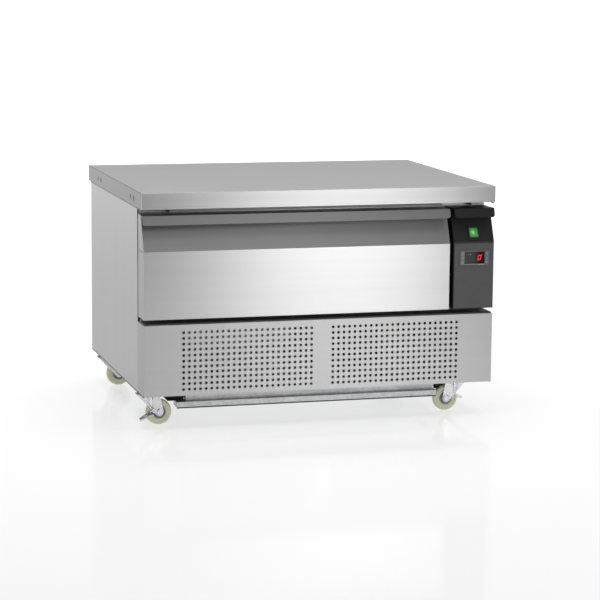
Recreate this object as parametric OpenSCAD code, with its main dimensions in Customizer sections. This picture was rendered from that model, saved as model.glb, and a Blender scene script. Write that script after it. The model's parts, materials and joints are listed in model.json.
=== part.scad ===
// Low refrigerated counter with one wide drawer, a perforated machine grille and castors.
// The origin is the centre of the footprint on the floor: +Z up, front towards -Y, +X to the right.

/* [Worktop] */
// Width of the worktop
top_w = 900; // [880:1:960]
// Depth of the worktop
top_d = 700; // [690:1:740]
// Height of the working surface above the floor
overall_h = 580; // [572:1:600]
// Height of the worktop's folded edge
top_h = 40; // [36:1:44]
// Width of the hem folded in under the worktop's edge
top_hem = 14; // [12:1:20]

/* [Cabinet] */
// How far each side panel stands in from the worktop's end
body_inset = 4; // [3:1:10]
// How far the back panel stands in from the worktop's back edge
back_inset = 14; // [13:1:20]
// Thickness of the folded steel sheet
sheet_t = 1.2; // [1:0.1:1.5]
// Thickness of the liner of the cold space
liner_t = 1; // [0.8:0.1:1.2]
// Height of the machine compartment
machine_h = 177; // [176:1:184]
// Thickness of the insulated side and back walls
wall_t = 50; // [46:1:52]
// Thickness of the insulated floor of the cold space
floor_t = 40; // [36:1:42]
// Thickness of the insulation over the cold space
ceiling_t = 35; // [30:1:38]
// Width of the frame's land that the seal meets beside the controls
seal_land = 35; // [32:1:38]
// Width of the side panel's return behind the back panel
panel_return = 20; // [16:1:26]
// Thickness of the base plate
base_t = 2; // [1.6:0.1:2.5]
// Width of the base plate's front bar
base_bar = 20; // [16:1:22]
// How far the base plate reaches ahead of the front frame
base_reach = 22; // [20:1:26]

/* [Drawer front] */
// How far the fronts stand ahead of the worktop's edge
front_proud = 8; // [6:1:12]
// Thickness of the drawer front
front_t = 67; // [64:1:72]
// Room for the seal between drawer front and frame
seal_room = 12; // [10:1:14]
// Gap between the drawer front and the grille below it
front_gap_low = 14; // [12:1:16]
// Gap between the drawer front and the worktop above it
front_gap_top = 15; // [12:1:17]
// Height of the slanted upper part of the front
slant_rise = 86; // [80:1:96]
// How far the slanted upper part leans back at the top
slant_back = 36; // [32:1:40]
// Height of the grip lip
lip_h = 22; // [18:1:24]
// How far the lip's top bend stands behind the face
lip_back = 10; // [8:1:12]
// How far the lip's lower edge stands behind the face
lip_set = 2; // [1:0.5:4]
// How far the lip reaches past each end of its front
lip_over = 2; // [1:0.5:3]
// Radius of the lip's lower corners
lip_r = 7; // [5:1:9]
// Width of the rubber seal
seal_w = 12; // [10:1:14]
// Distance of the seal from the front's edge
seal_inset = 9; // [8:1:10]

/* [Drawer] */
// Room between the runners and the cold space's back wall
slide_back_room = 10; // [6:1:20]
// Height of the runners
slide_h = 45; // [42:1:48]
// Thickness of a runner set
slide_w = 12.7; // [12.5:0.1:13.5]
// Metal of the runners
slide_t = 1.5; // [1.2:0.1:1.6]
// Room between runner members that slide in each other
slide_clear = 0.4; // [0.3:0.05:0.5]
// Room between the pan frame and the cold space's back wall
pan_back_room = 34; // [26:1:38]
// Room between the pan frame and the cold space's ceiling
pan_head_room = 27; // [23:1:35]
// Room between the cold space's floor and the pan frame
pan_frame_lift = 6; // [4:1:8]
// Width of the ledge that carries the pans' rims
ledge_w = 14; // [12:1:16]
// Width of the bar between the two pans
divider_w = 12; // [10:1:16]
// Height of the bar between the two pans
divider_h = 25; // [20:1:30]

/* [Grille] */
// Height of the grille panel
grille_h = 175; // [173:1:176]
// How far the grille stands behind the drawer's face
grille_set = 2; // [1:0.5:4]
// Diameter of the grille's holes
hole_d = 7; // [5:0.5:8]
// Pitch of the grille's holes
hole_pitch = 14; // [12:0.5:14.5]
// Columns of holes in each field
field_cols = 24; // [12:1:24]
// Rows of holes in each field
field_rows = 11; // [6:1:11]
// Distance from the last column of one field to the first of the next
field_gap = 55; // [40:1:60]
// Distance from the panel's left edge to the first column
field_margin = 98; // [90:1:100]
// Height of the lowest row over the panel's lower edge
field_rise = 15.5; // [14:0.5:18]

/* [Controls] */
// Width of the control cover
control_w = 106; // [104:1:110]
// Gap between the drawer and the control cover
control_gap = 11; // [10:1:14]
// Wall of the control cover
cover_t = 2.5; // [2:0.1:3]
// Thickness of the fascia plate
fascia_t = 1.5; // [1:0.1:2]
// Depth of the trim strip between drawer and controls
trim_depth = 22; // [15:1:30]
// Width of the thermostat's front
bezel_w = 76.6; // [75:0.1:80]
// Height of the thermostat's front
bezel_h = 36.8; // [35:0.1:39]
// How far the thermostat's front stands out of the fascia
bezel_rise = 1.5; // [1:0.1:2]
// How far the thermostat's centre lies below the slanted part
bezel_drop = 37; // [31:1:45]
// Width of the display window
window_w = 52.4; // [48:0.1:54]
// Height of the display window
window_h = 30.4; // [28:0.1:31]
// Width of a key
key_w = 9; // [8:0.1:9.5]
// Height of a key
key_h = 8.6; // [7:0.1:9]
// Pitch of the keys
key_pitch = 10.6; // [10:0.1:11]
// How far a key stands out of the thermostat's front
key_rise = 0.5; // [0.3:0.1:1]
// How far a key can be pressed
key_travel = 0.4; // [0.3:0.1:0.6]
// Width of the switch frame
switch_w = 31; // [30:0.5:34]
// Height of the switch frame
switch_h = 37; // [36:0.5:40]
// How far the switch frame stands out of the cover
switch_rise = 1.5; // [1:0.1:2]
// Distance of the switch's centre up the slanted face
switch_up = 27; // [25:1:32]
// Radius that the rocker's ends swing on
rocker_r = 13.2; // [12:0.1:13.4]
// Width of the rocker
rocker_w = 21.8; // [20:0.1:23]
// Tilt of the rocker to each side
rocker_tilt = 8; // [6:1:10]

/* [Castors] */
// Height from the floor to the base plate
castor_h = 85; // [84:1:90]
// Diameter of a wheel
wheel_d = 64; // [60:1:65]
// Width of a tyre
wheel_w = 22; // [18:1:23]
// Distance of the axle from the kingpin
trail = 27; // [24:1:28]
// Distance of the left castors from the cabinet's left side
castor_in_left = 26; // [25:1:36]
// Distance of the right castors from the cabinet's right side
castor_in_right = 67; // [46:1:68]
// Distance of the front castors from the cabinet's front frame
castor_front = 7; // [6:1:30]
// Distance of the rear castors from the back panel
castor_rear = 95; // [60:1:120]
// Width of the mounting plate
plate_w = 52; // [48:1:54]
// Thickness of the mounting plate
plate_t = 2.5; // [2:0.1:3]
// Half width of the fork's head
fork_half = 28.5; // [26:0.5:29]
// Metal of the fork
fork_t = 2.5; // [2:0.1:3]
// Radius of the axle
axle_r = 4; // [3.5:0.1:4.5]
// Radius of the kingpin
kingpin_r = 6; // [5:0.1:6.5]
// Radial clearance of each turning fit
turn_fit = 0.05; // [0.03:0.01:0.08]

/* [Machine] */
// Distance of the machine tray from the cabinet's left side
unit_in_left = 120; // [118:1:126]
// Distance of the machine tray from the cabinet's right side
unit_in_right = 127; // [127:1:134]
// Length of the machine tray
unit_len = 510; // [480:1:512]
// Drop of the machine tray's floor below the base plate
unit_drop = 27; // [25:1:27]
// Depth of the rail under the tray's front
rail_d = 38; // [30:1:40]
// Height of the rail under the tray's front
rail_h = 13; // [10:1:14]
// How far the rail reaches past the tray on the left
rail_over = 27; // [20:1:28]
// Width of the condenser
cond_w = 240; // [220:1:250]
// Depth of the condenser
cond_d = 40; // [36:1:44]
// Radius of the condenser fan
fan_r = 53; // [50:1:54]
// Radius of the compressor's pot
pot_r = 72; // [66:1:74]
// Height of the compressor's pot
pot_h = 150; // [140:1:152]
// Height of the compressor's rubber feet
foot_h = 18; // [14:1:20]
// Width of the electrical box
box_w = 120; // [100:1:140]
// Depth of the electrical box
box_d = 110; // [90:1:130]
// Height of the electrical box
box_h = 70; // [60:1:90]
// Height of the tray that takes up the drained water
drip_h = 40; // [36:1:42]
// Wall of that tray
drip_t = 2; // [1.5:0.1:3]
// Outer radius of the drain tube
drain_r = 10; // [8:0.5:11]
// Bore radius of the mains cable's gland
gland_bore_r = 4.25; // [4:0.05:5]

/* [Hidden] */
$fn = 48;

// Main planes of the counter
half_w = top_w / 2;
front_reach = front_proud + bezel_rise + key_rise;
overall_d = top_d + front_reach;
top_y0 = front_reach - overall_d / 2;
top_y1 = overall_d / 2;
under_z = overall_h - top_h;
face_y = top_y0 - front_proud;
front_back_y = face_y + front_t;
frame_y = front_back_y + seal_room;
body_x = half_w - body_inset;
body_y1 = top_y1 - back_inset;
grille_y = face_y + grille_set;
grille_z1 = castor_h + grille_h;
machine_z1 = castor_h + machine_h;

// The fronts' outline
front_z0 = grille_z1 + front_gap_low;
front_z1 = under_z - front_gap_top;
slant_h = slant_rise;
crease_z = front_z1 - slant_h;
slant_len = sqrt(slant_h * slant_h + slant_back * slant_back);
slant_a = atan(slant_back / slant_h);
control_x0 = body_x - control_w;
drawer_x0 = -body_x;
drawer_x1 = control_x0 - control_gap;

// The cold space
cav_x0 = -body_x + wall_t;
cav_x1 = body_x - wall_t;
cav_y1 = body_y1 - wall_t;
cav_z0 = machine_z1 + floor_t;
cav_z1 = under_z - ceiling_t;
open_x0 = cav_x0 + liner_t;
open_x1 = drawer_x1 - seal_land;
open_z0 = cav_z0 + liner_t;
open_z1 = cav_z1 - liner_t;
wall_back_y = frame_y + wall_t;
liner_x1 = open_x1 + liner_t;
liner_y1 = cav_y1 - liner_t;

// The drawer's runners and pan frame
slide_y0 = frame_y + 4;
slide_y1 = liner_y1 - slide_back_room;
slide_z = open_z0 + pan_frame_lift + slide_h / 2 + 4;
pan_x0 = open_x0 + slide_w;
pan_x1 = open_x1 - slide_w;
pan_mid = (pan_x0 + pan_x1) / 2;
pan_y1 = liner_y1 - pan_back_room;
pan_z0 = open_z0 + pan_frame_lift;
pan_z1 = open_z1 - pan_head_room;

// The machine tray and what stands on it
unit_left = body_x - unit_in_left;
unit_right = body_x - unit_in_right;
tray_z0 = castor_h - unit_drop;
tray_z1 = tray_z0 + sheet_t;
tray_y0 = frame_y - sheet_t;
tray_y1 = tray_y0 + unit_len;
cond_x0 = 16 - unit_left;
cond_x1 = cond_x0 + cond_w;
cond_y0 = frame_y + base_bar + 8;
cond_y1 = cond_y0 + cond_d;
cond_z1 = castor_h + 105;
shroud_y1 = cond_y1 + 40;
fan_x = (cond_x0 + cond_x1) / 2;
fan_z = (tray_z1 + cond_z1) / 2;
pot_x = unit_right - 149;
pot_y = frame_y + 204;
pot_plate = [pot_r + 12, pot_r - 14];
pot_z0 = tray_z1 + foot_h + 3;
drip_y1 = frame_y + 194;
drain_x = fan_x + 40;
drain_y = frame_y + 144;
pipe_y = liner_y1 - 140;
base_line_z = castor_h - 1;
suction_z = machine_z1 - 30;
liquid_z = machine_z1 - 16;
liquid_x = cav_x1 - 50;
suction_x = cav_x1 - 34;
gland_x = body_x - 196;
gland_z = castor_h + 65;

// The evaporator behind its cover
coil_x0 = cav_x1 - 52;
coil_x1 = cav_x1 - 12;
coil_y0 = wall_back_y + 74;
coil_y1 = pipe_y - 20;
chill_y = wall_back_y + 164;
chill_z = open_z1 - 70;
chill_r = 50;
chill_stand = 44;

// The controls
control_mid = (control_x0 + body_x) / 2 + 1.5;
bezel_z = crease_z - bezel_drop;
key_x = [control_mid - (bezel_w + window_w) / 4, control_mid + (bezel_w + window_w) / 4];
key_fit = 0.15;
key_seat = bezel_rise - 0.1;
switch_z = crease_z + switch_up * slant_h / slant_len;
switch_y = face_y + switch_up * slant_back / slant_len;
pivot_in = 3;

// The castors' places
castor_left = body_x - castor_in_left;
castor_right = body_x - castor_in_right;
castor_yf = frame_y + castor_front;
castor_yb = body_y1 - castor_rear;
axle_z = wheel_d / 2;
cheek_y = wheel_w / 2 + 1.5;
race_h = 3.5;
race_z = castor_h - plate_t - race_h;
fork_z1 = race_z - 0.3;
pedal_x = 14;
pedal_z = 38;

// A box given by its two corners
module block(x0, x1, y0, y1, z0, z1) {
    translate([x0, y0, z0]) cube([x1 - x0, y1 - y0, z1 - z0]);
}

// A flat outline in Y and Z drawn out along X
module along_x(x0, x1) {
    translate([x0, 0, 0]) rotate([90, 0, 90]) linear_extrude(x1 - x0) children();
}

// A flat outline in X and Z drawn out along Y
module along_y(y0, y1) {
    translate([0, y1, 0]) rotate([90, 0, 0]) linear_extrude(y1 - y0) children();
}

// A round bar from one point to another
module bar(a, b, r) {
    d = b - a;
    length = norm(d);
    translate(a)
        rotate([0, acos(d[2] / length), atan2(d[1], d[0])])
            cylinder(r = r, h = length);
}

// A brazed tube through a list of points, with a fitting at each bend
module tube_run(points, r) {
    for (i = [0 : len(points) - 2]) bar(points[i], points[i + 1], r);
    for (i = [1 : len(points) - 2]) translate(points[i]) sphere(r = r * 1.25);
}

// Worktop
module worktop() {
    color("silver")
    difference() {
        block(-half_w, half_w, top_y0, top_y1, under_z, overall_h);
        block(-half_w + sheet_t, half_w - sheet_t, top_y0 + sheet_t, top_y1 - sheet_t,
              under_z + sheet_t, overall_h - sheet_t);
        block(-half_w + top_hem, half_w - top_hem, top_y0 + top_hem, top_y1 - top_hem,
              under_z - 1, under_z + sheet_t + 1);
    }
}

// Stiffening board that fills the worktop
module worktop_core() {
    core_clear = 0.5;
    color("burlywood")
    block(-half_w + sheet_t + core_clear, half_w - sheet_t - core_clear,
          top_y0 + sheet_t + core_clear, top_y1 - sheet_t - core_clear,
          under_z + sheet_t, overall_h - sheet_t);
}

// Left side panel with its return behind the back panel
module side_panel() {
    block(-body_x, -body_x + sheet_t, frame_y, body_y1 - sheet_t, castor_h, under_z);
    block(-body_x, -body_x + panel_return, body_y1 - 2 * sheet_t, body_y1 - sheet_t,
          castor_h, under_z);
}

module side_panel_left() {
    color("lightgray") side_panel();
}

module side_panel_right() {
    color("lightgray") mirror([1, 0, 0]) side_panel();
}

// Places of the back panel's screws
screw_r = 2;
screw_x = body_x - panel_return / 2;
screw_z = [castor_h + 20, machine_z1 - 30, machine_z1 + 110, under_z - 20];

module back_panel() {
    slot_w = 8;
    slot_h = 60;
    slot_count = 12;
    field_x = body_x - 256;
    color("lightgray")
    difference() {
        block(-body_x, body_x, body_y1 - sheet_t, body_y1, castor_h, under_z);
        for (field = [-1, 1], i = [0 : slot_count - 1])
            translate([field * field_x + (i - (slot_count - 1) / 2) * 2.2 * slot_w, 0, 0])
                block(-slot_w / 2, slot_w / 2, body_y1 - 2 * sheet_t, body_y1 + 1,
                      castor_h + 95, castor_h + 95 + slot_h);
        for (side = [-1, 1], z = screw_z)
            translate([side * screw_x, body_y1 + 1, z])
                rotate([90, 0, 0]) cylinder(r = screw_r, h = 3);
        translate([gland_x, body_y1 + 1, gland_z])
            rotate([90, 0, 0]) cylinder(r = gland_r + 0.1, h = 5);
    }
}

// Plan of the cold space, drawn in from its walls and out through the front
function cavity_plan(inset, out) = [
    [cav_x0 + inset, frame_y + sheet_t - out],
    [liner_x1 - inset, frame_y + sheet_t - out],
    [liner_x1 - inset, wall_back_y + inset],
    [cav_x1 - inset, wall_back_y + inset],
    [cav_x1 - inset, cav_y1 - inset],
    [cav_x0 + inset, cav_y1 - inset]
];

module cavity(inset, out) {
    translate([0, 0, cav_z0 + inset])
        linear_extrude(cav_z1 - cav_z0 - 2 * inset) polygon(cavity_plan(inset, out));
}

// Holes in the floor of the cold space for the drain and the two pipes
module floor_holes(r_drain) {
    translate([drain_x, drain_y, machine_z1 - 1]) cylinder(r = r_drain, h = floor_t + 4);
    for (x = [liquid_x, suction_x])
        translate([x, pipe_y, machine_z1 - 1]) cylinder(r = 6, h = floor_t + 4);
}

// Foam boards between the outer panels and the liner: floor, ceiling and four upright ones
module insulation_foam() {
    joint = 0.2;
    color("khaki")
    difference() {
        block(-body_x + sheet_t, body_x - sheet_t, frame_y + sheet_t, body_y1 - 2 * sheet_t,
              machine_z1, under_z);
        cavity(0, 1);
        floor_holes(drain_r + 0.2);
        for (z = [cav_z0, cav_z1 - joint]) block(-half_w, half_w, frame_y, body_y1, z, z + joint);
        for (x = [cav_x0, cav_x1 - joint]) block(x, x + joint, cav_y1 - 1, body_y1, cav_z0, cav_z1);
        block(liner_x1, half_w, wall_back_y - joint, wall_back_y, cav_z0, cav_z1);
    }
}

// Liner of the cold space
module inner_liner() {
    color("gainsboro")
    difference() {
        cavity(0, 0);
        cavity(liner_t, 1);
        floor_holes(drain_r - 2.5);
    }
}

// Face frame round the drawer's opening
module front_frame() {
    color("silver")
    along_y(frame_y, frame_y + sheet_t)
    difference() {
        translate([-body_x + sheet_t, machine_z1])
            square([2 * (body_x - sheet_t), under_z - machine_z1]);
        translate([open_x0, open_z0]) square([open_x1 - open_x0, open_z1 - open_z0]);
    }
}

// Black strip between the drawer and the controls
module mullion_trim() {
    trim_gap = 2;
    color("dimgray")
    block(drawer_x1 + trim_gap, control_x0 - trim_gap, frame_y - trim_depth, frame_y,
          front_z0 + trim_gap, front_z1 - trim_gap);
}

// Perforated panel in front of the machine compartment
module grille_panel() {
    field_step = (field_cols - 1) * hole_pitch + field_gap;
    color("silver") {
        along_y(grille_y, grille_y + sheet_t)
        difference() {
            translate([-body_x, castor_h]) square([2 * body_x, grille_h]);
            for (field = [0, 1], i = [0 : field_cols - 1], j = [0 : field_rows - 1])
                translate([-body_x + field_margin + field * field_step + i * hole_pitch,
                           castor_h + field_rise + j * hole_pitch])
                    circle(d = hole_d, $fn = 24);
        }
        for (side = [-1, 1])
            block(side < 0 ? -body_x : body_x - sheet_t, side < 0 ? -body_x + sheet_t : body_x,
                  grille_y, frame_y, castor_h, grille_z1);
        block(-body_x, body_x, grille_y, frame_y, grille_z1 - sheet_t, grille_z1);
        block(-body_x, body_x, grille_y, grille_y + 14, castor_h, castor_h + sheet_t);
    }
}

// Screws of the back panel and of the control cover's side
module panel_screws() {
    head_h = 2;
    color("gray") {
        for (side = [-1, 1], z = screw_z)
            translate([side * screw_x, body_y1, z]) rotate([90, 0, 0]) {
                cylinder(r = screw_r, h = sheet_t);
                translate([0, 0, -head_h]) cylinder(r = 2 * screw_r, h = head_h);
            }
        for (z = [bezel_z - 64, bezel_z - 45])
            translate([control_x0, face_y + 25, z]) rotate([0, -90, 0]) cylinder(r = 1.6, h = 0.8);
    }
}

// Base plate with its opening over the machine tray
module base_frame() {
    upstand = 22;
    color("darkgray")
    difference() {
        union() {
            block(-body_x + sheet_t, body_x - sheet_t, frame_y - base_reach,
                  body_y1 - 2 * sheet_t, castor_h, castor_h + base_t);
            block(-body_x + sheet_t, -body_x + sheet_t + base_t, frame_y, body_y1 - 2 * sheet_t,
                  castor_h, castor_h + upstand);
            block(body_x - sheet_t - base_t, body_x - sheet_t, frame_y, body_y1 - 2 * sheet_t,
                  castor_h, castor_h + upstand);
        }
        block(-unit_left + sheet_t, unit_right - sheet_t, frame_y + base_bar, tray_y1 - sheet_t,
              castor_h - 1, castor_h + base_t + 1);
    }
}

// Tray that carries the cooling machine, with the rail under its front
module unit_tray() {
    flange = 14;
    rail_x0 = -unit_left - rail_over;
    rail_y0 = tray_y0 - 20;
    color("lightsteelblue") {
        difference() {
            block(-unit_left, unit_right, tray_y0, tray_y1, tray_z0, castor_h);
            block(-unit_left + sheet_t, unit_right - sheet_t, tray_y0 + sheet_t,
                  tray_y1 - sheet_t, tray_z1, castor_h + 1);
        }
        difference() {
            block(-unit_left - flange, unit_right + flange, frame_y, tray_y1 + flange,
                  castor_h - sheet_t, castor_h);
            block(-unit_left + sheet_t, unit_right - sheet_t, frame_y - 1, tray_y1 - sheet_t,
                  castor_h - 2 * sheet_t, castor_h + 1);
        }
        difference() {
            block(rail_x0, unit_right + 1, rail_y0, rail_y0 + rail_d, tray_z0 - rail_h, tray_z0);
            block(rail_x0 + sheet_t, unit_right + 1 - sheet_t, rail_y0 + sheet_t,
                  rail_y0 + rail_d + 1, tray_z0 - rail_h + sheet_t, tray_z0 - sheet_t);
        }
    }
}

// Hermetic compressor with its foot plate and terminal box
module compressor() {
    color("darkslategray")
    translate([pot_x, pot_y, pot_z0]) {
        intersection() {
            cylinder(r = pot_r, h = pot_h, $fn = 96);
            translate([0, 0, pot_h / 2]) sphere(r = pot_h * 0.6, $fn = 96);
        }
        translate([0, 0, pot_h / 2 - 4]) cylinder(r = pot_r + 2, h = 8, $fn = 96);
        translate([-28, -pot_r - 24, pot_h * 0.3]) cube([56, 40, 60]);
        difference() {
            translate([-pot_plate[0], -pot_plate[1], -3])
                cube([2 * pot_plate[0], 2 * pot_plate[1], 3.5]);
            for (sx = [-1, 1], sy = [-1, 1])
                translate([sx * (pot_plate[0] - 14), sy * (pot_plate[1] - 14), -4])
                    cylinder(r = 5, h = 6);
        }
    }
}

module compressor_feet() {
    color("black")
    for (sx = [-1, 1], sy = [-1, 1])
        translate([pot_x + sx * (pot_plate[0] - 14), pot_y + sy * (pot_plate[1] - 14), tray_z1])
        difference() {
            cylinder(r = 13, h = foot_h);
            translate([0, 0, -1]) cylinder(r = 5, h = foot_h + 2);
        }
}

// A finned coil along X: plates across the tubes, and return bends at both ends
module finned_coil(length, depth, height, fins, rows) {
    tube_r = 4;
    end_t = 1.5;
    row_step = height / rows;
    for (i = [0 : fins - 1])
        translate([i * (length - end_t) / (fins - 1), 0, 0])
            cube([i == 0 || i == fins - 1 ? end_t : 1, depth, height]);
    for (side = [0.28, 0.72], j = [0 : rows - 1])
        translate([-6, depth * side, (j + 0.5) * row_step])
            rotate([0, 90, 0]) cylinder(r = tube_r, h = length + 12);
    for (side = [0.28, 0.72], j = [0 : 2 : rows - 2])
        translate([length + 6, depth * side, (j + 1) * row_step])
            rotate([90, 0, 0]) rotate([0, 0, -90])
                rotate_extrude(angle = 180) translate([row_step / 2, 0]) circle(r = tube_r);
}

module condenser_coil() {
    color("dimgray")
    translate([cond_x0 + 6, cond_y0, tray_z1])
        finned_coil(cond_w - 12 - 20, cond_d, cond_z1 - tray_z1, 34, 4);
}

// Duct from the condenser to its fan
module condenser_shroud() {
    ring = fan_r + 4;
    color("dimgray")
    difference() {
        block(cond_x0, cond_x1, cond_y1, shroud_y1, tray_z1, cond_z1);
        block(cond_x0 + 2, cond_x1 - 2, cond_y1 - 1, shroud_y1 - 2, tray_z1 + 2, cond_z1 - 2);
        translate([fan_x, shroud_y1 + 1, fan_z]) rotate([90, 0, 0]) cylinder(r = ring, h = 5);
    }
}

// A small motor with its shaft along +Z and three arms that stand on the given height
module fan_motor(body_r, body_h, shaft_r, shaft_h, reach, stand_h) {
    cylinder(r = body_r, h = body_h);
    cylinder(r = shaft_r, h = body_h + shaft_h);
    for (a = [30, 150, 270]) rotate([0, 0, a]) {
        translate([body_r - 3, -4, body_h / 2]) cube([reach - body_r + 3, 8, 3]);
        translate([reach - 4, -4, body_h / 2]) cube([4, 8, stand_h - body_h / 2]);
    }
}

// A fan wheel along +Z: hub with a bore, and tilted blades
module fan_wheel(r, hub_r, hub_h, bore_r, blades) {
    difference() {
        union() {
            cylinder(r = hub_r, h = hub_h);
            for (i = [0 : blades - 1])
                rotate([0, 0, i * 360 / blades])
                    translate([hub_r - 2, 0, hub_h / 2]) rotate([28, 0, 0])
                        translate([0, -r * 0.24, -0.75]) cube([r * 0.93 - hub_r, r * 0.48, 1.5]);
        }
        translate([0, 0, -1]) cylinder(r = bore_r, h = hub_h + 2);
    }
}

module condenser_fan_motor() {
    motor_h = 44;
    color("darkgray")
    translate([fan_x, shroud_y1 + motor_h, fan_z]) rotate([90, 0, 0])
        fan_motor(28, motor_h, 3, 28, fan_r + 8, motor_h);
}

module condenser_fan_blade() {
    color("lightgray")
    translate([fan_x, shroud_y1 - 2, fan_z]) rotate([90, 0, 0])
        fan_wheel(fan_r, 15, 20, 3 + turn_fit, 5);
}

// Copper tubes of the cooling circuit, with the filter drier
module refrigerant_pipes() {
    line_y = cond_y0 + cond_d / 2;
    line_x = cond_x1 - 25.7;
    pot_port_z = pot_z0 + pot_h / 2;
    loop_x = pot_x + pot_r + 30;
    drier_x0 = pot_x - 150;
    drier_x1 = drier_x0 + 90;
    color("peru") {
        tube_run([[pot_x - pot_r - 2.2, pot_y, pot_port_z], [pot_x - pot_r - 30, pot_y, pot_port_z],
                  [pot_x - pot_r - 30, line_y, pot_port_z], [line_x, line_y, pot_port_z]], 4);
        tube_run([[line_x, line_y, base_line_z], [drier_x0, line_y, base_line_z]], 4);
        bar([drier_x0, line_y, base_line_z], [drier_x1, line_y, base_line_z], 10);
        tube_run([[drier_x1, line_y, base_line_z], [loop_x + 20, line_y, base_line_z],
                  [loop_x + 20, pipe_y, base_line_z], [loop_x + 20, pipe_y, liquid_z],
                  [liquid_x, pipe_y, liquid_z], [liquid_x, pipe_y, open_z0 + 30]], 3);
        tube_run([[pot_x + pot_r + 2.2, pot_y, pot_port_z], [loop_x, pot_y, pot_port_z],
                  [loop_x, pot_y, suction_z], [loop_x, pipe_y - 24, suction_z],
                  [suction_x, pipe_y - 24, suction_z], [suction_x, pipe_y, suction_z],
                  [suction_x, pipe_y, open_z0 + 30]], 5);
    }
}

// Tray over the condenser that takes up the water from the cold space
module evaporation_tray() {
    color("whitesmoke")
    difference() {
        block(cond_x0 - 8, cond_x1 + 20, cond_y0, drip_y1, cond_z1, cond_z1 + drip_h);
        block(cond_x0 - 8 + drip_t, cond_x1 + 20 - drip_t, cond_y0 + drip_t, drip_y1 - drip_t,
              cond_z1 + drip_t, cond_z1 + drip_h + 1);
    }
}

module drain_tube() {
    top = cav_z0;
    low = cond_z1 + drip_h * 0.6;
    color("white")
    translate([drain_x, drain_y, low]) difference() {
        cylinder(r = drain_r, h = top - low);
        translate([0, 0, -1]) cylinder(r = drain_r - 2.5, h = top - low + 2);
    }
}

module electrical_box() {
    lid_over = 3;
    color("gray")
    translate([26 - unit_left, frame_y + 334, tray_z1]) {
        cube([box_w, box_d, box_h]);
        translate([-lid_over, -lid_over, box_h]) cube([box_w + 2 * lid_over, box_d + 2 * lid_over, 4]);
    }
}

// Gland where the mains cable enters
gland_r = 8;
module cable_gland() {
    nut_t = 5;
    cap_h = back_inset - nut_t - 1;
    color("black")
    translate([gland_x, body_y1, gland_z]) rotate([-90, 0, 0]) difference() {
        union() {
            translate([0, 0, -14]) cylinder(r = gland_r, h = 15);
            cylinder(r = gland_r * 1.5, h = nut_t, $fn = 6);
            cylinder(r = gland_r * 1.1, h = nut_t + cap_h);
            translate([0, 0, -sheet_t - nut_t]) cylinder(r = gland_r * 1.5, h = nut_t, $fn = 6);
        }
        translate([0, 0, -20]) cylinder(r = gland_bore_r, h = 50);
    }
}

module evaporator_coil() {
    coil_len = coil_y1 - coil_y0;
    color("gainsboro")
    translate([coil_x1, coil_y0, open_z0]) rotate([0, 0, 90])
        finned_coil(coil_len - 20, coil_x1 - coil_x0, open_z1 - open_z0 - 12, 24, 4);
}

// Sheet between the evaporator and the drawer, with its fan hole and slots
module evaporator_cover() {
    color("gainsboro")
    along_x(open_x1, open_x1 + sheet_t)
    difference() {
        translate([wall_back_y + liner_t, open_z0])
            square([liner_y1 - wall_back_y - liner_t, open_z1 - open_z0]);
        translate([chill_y, chill_z]) circle(r = chill_r);
        for (i = [0 : 5])
            translate([liner_y1 - 170 + i * 22, chill_z - 45]) square([10, 90]);
    }
}

module evaporator_fan_motor() {
    motor_h = 24;
    color("darkgray")
    translate([open_x1 + sheet_t + chill_stand, chill_y, chill_z]) rotate([0, -90, 0])
        fan_motor(20, motor_h, 2.5, 16, chill_r + 8, chill_stand);
}

module evaporator_fan_blade() {
    color("black")
    translate([open_x1 + sheet_t + chill_stand - 27, chill_y, chill_z]) rotate([0, -90, 0])
        fan_wheel(chill_r - 4, 12, 12, 2.5 + turn_fit, 5);
}

// Outline of a front in Y and Z: flat face, slanted upper part, and the top
function slope_shift(inset) = inset * slant_len / slant_h;
function front_outline(flat_y, inset, back) = [
    [flat_y + inset, front_z0 + inset],
    [flat_y + inset,
     crease_z + slant_h * (flat_y + inset - face_y - slope_shift(inset)) / slant_back],
    [face_y + slant_back * (slant_h - inset) / slant_h + slope_shift(inset), front_z1 - inset],
    [back, front_z1 - inset],
    [back, front_z0 + inset]
];

// Grip lip along the top of a front, with rounded lower corners
module grip_lip(x0, x1, metal) {
    drop = lip_back - lip_set;
    lip_len = sqrt(lip_h * lip_h + drop * drop);
    translate([0, face_y + lip_back, front_z1]) rotate([90 - atan(drop / lip_h), 0, 0])
        translate([0, 0, -metal]) linear_extrude(metal) {
            translate([x0, -lip_len + lip_r]) square([x1 - x0, lip_len - lip_r]);
            translate([x0 + lip_r, -lip_len]) square([x1 - x0 - 2 * lip_r, lip_r + 1]);
            for (x = [x0 + lip_r, x1 - lip_r]) translate([x, -lip_len + lip_r]) circle(r = lip_r);
        }
    block(x0, x1, face_y + lip_back, face_y + slant_back + metal, front_z1 - metal, front_z1);
}

module drawer_front_skin() {
    color("silver") {
        difference() {
            along_x(drawer_x0, drawer_x1)
                polygon(front_outline(face_y, 0, front_back_y - sheet_t));
            along_x(drawer_x0 + sheet_t, drawer_x1 - sheet_t)
                polygon(front_outline(face_y, sheet_t, front_back_y + 1));
        }
        grip_lip(drawer_x0 - lip_over, drawer_x1 + lip_over, sheet_t);
    }
}

module drawer_front_foam() {
    color("khaki")
    along_x(drawer_x0 + sheet_t, drawer_x1 - sheet_t)
        polygon(front_outline(face_y, sheet_t, front_back_y - sheet_t));
}

module drawer_front_liner() {
    color("gainsboro")
    block(drawer_x0, drawer_x1, front_back_y - sheet_t, front_back_y, front_z0, front_z1);
}

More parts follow.
